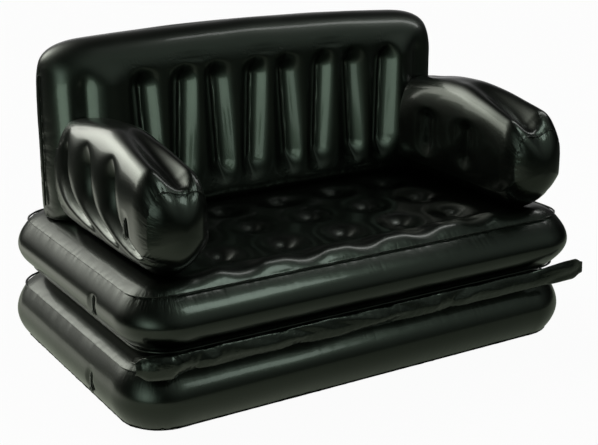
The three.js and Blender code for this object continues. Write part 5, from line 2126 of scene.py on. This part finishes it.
@dataclass(frozen=True)
class PhotoCamera:
    """The camera where the photograph was taken from."""

    place: tuple[float, float, float] = (-1.9569, -3.1646, 1.5615)
    yaw: float = 0.5551
    pitch: float = 0.3132
    roll: float = 0.0054
    focal_px: float = 1269.41
    width_px: float = 598.0
    shift_px: tuple[float, float] = (2.38, -0.857)
    sensor: float = 36.0

    def build(self) -> None:
        """Makes the camera and sets it as the scene's."""
        data = bpy.data.cameras.new("photo_camera")
        data.sensor_width = self.sensor
        data.lens = self.focal_px * self.sensor / self.width_px
        data.shift_x, data.shift_y = (s / self.width_px for s in self.shift_px)
        level = math.cos(self.pitch)
        ahead = Vector((math.sin(self.yaw) * level, math.cos(self.yaw) * level, -math.sin(self.pitch)))
        right = ahead.cross(Vector((0, 0, 1))).normalized()
        up = right.cross(ahead)
        c, s = math.cos(self.roll), math.sin(self.roll)
        turned = Matrix((right * c + up * s, up * c - right * s, -ahead)).transposed()
        camera = bpy.data.objects.new("photo_camera", data)
        camera.location = self.place
        camera.rotation_euler = turned.to_euler()
        bpy.context.scene.collection.objects.link(camera)
        bpy.context.scene.camera = camera


# The sofa


def dress_ties() -> None:
    """Gives the tie strips and check flaps inside the chambers their film."""
    inner = Finish.TIE.material()
    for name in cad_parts:
        if "tie_strip" in name or "check_flap" in name:
            node = bpy.data.objects[name]
            node.data.materials.clear()
            node.data.materials.append(inner)
    LOG.info("tie strips and check flaps dressed")


def main() -> None:
    """Builds the studio and the sofa, piece by piece."""
    logging.basicConfig(level=logging.INFO, format="%(message)s")
    PhotoCamera().build()
    studio = Studio()
    studio.build()
    trimmer = Trimmer()
    reach = SIZE.width / 2
    valves = {
        "seat": Valve("seat", Body.SEAT, Body.SEAT_PLUG, (-reach + 0.0065, -0.196, 0.284)),
        "base": Valve("base", Body.BASE, Body.BASE_PLUG, (-reach - 0.0035, -0.182, 0.056)),
        "arm": Valve("arm", Body.SEAT, Body.ARM_PLUG, (-0.699, -0.3, 0.52)),
    }
    rows = np.array([-0.27, -0.09, 0.09, 0.27])
    columns = (np.arange(7) - 3) * 0.2
    seat = Tier(
        name="seat",
        body=Body.SEAT,
        floor=SIZE.tier + SIZE.gap / 2,
        low=Weld(inset=0.048, height=0.032),
        high=Weld(inset=0.036, height=0.176, front=0.026),
        low_crest=0.12,
        low_level=0.0,
        high_crest=0.118,
        high_level=SIZE.tier + SIZE.crest_rise,
        valve=valves["seat"],
        ridge=0.007,
        top=Dimples(columns[1:-1], rows[:-1], depth=0.024),
        seed=3,
    )
    base = Tier(
        name="base",
        body=Body.BASE,
        floor=0.0,
        low=Weld(inset=0.036, height=0.007),
        high=Weld(inset=0.032, height=0.168, front=0.014),
        low_crest=0.062,
        low_level=0.0,
        high_crest=0.125,
        high_level=SIZE.tier - SIZE.gap / 2,
        shift=(SIZE.shift_x, SIZE.shift_y),
        valve=valves["base"],
        bottom=Dimples(columns, rows, depth=0.014, edge_pull=0.09),
        seed=11,
    )
    seat.build(trimmer)
    base.build(trimmer)
    back = Backrest()
    back.build(trimmer)
    Arm(Side.LEFT, back, valves["arm"]).build(trimmer)
    Arm(Side.RIGHT, back).build(trimmer)
    HingeWeb().build()
    for valve in valves.values():
        valve.build()
    dress_ties()
    studio.flag()


if __name__ == "__main__":
    main()
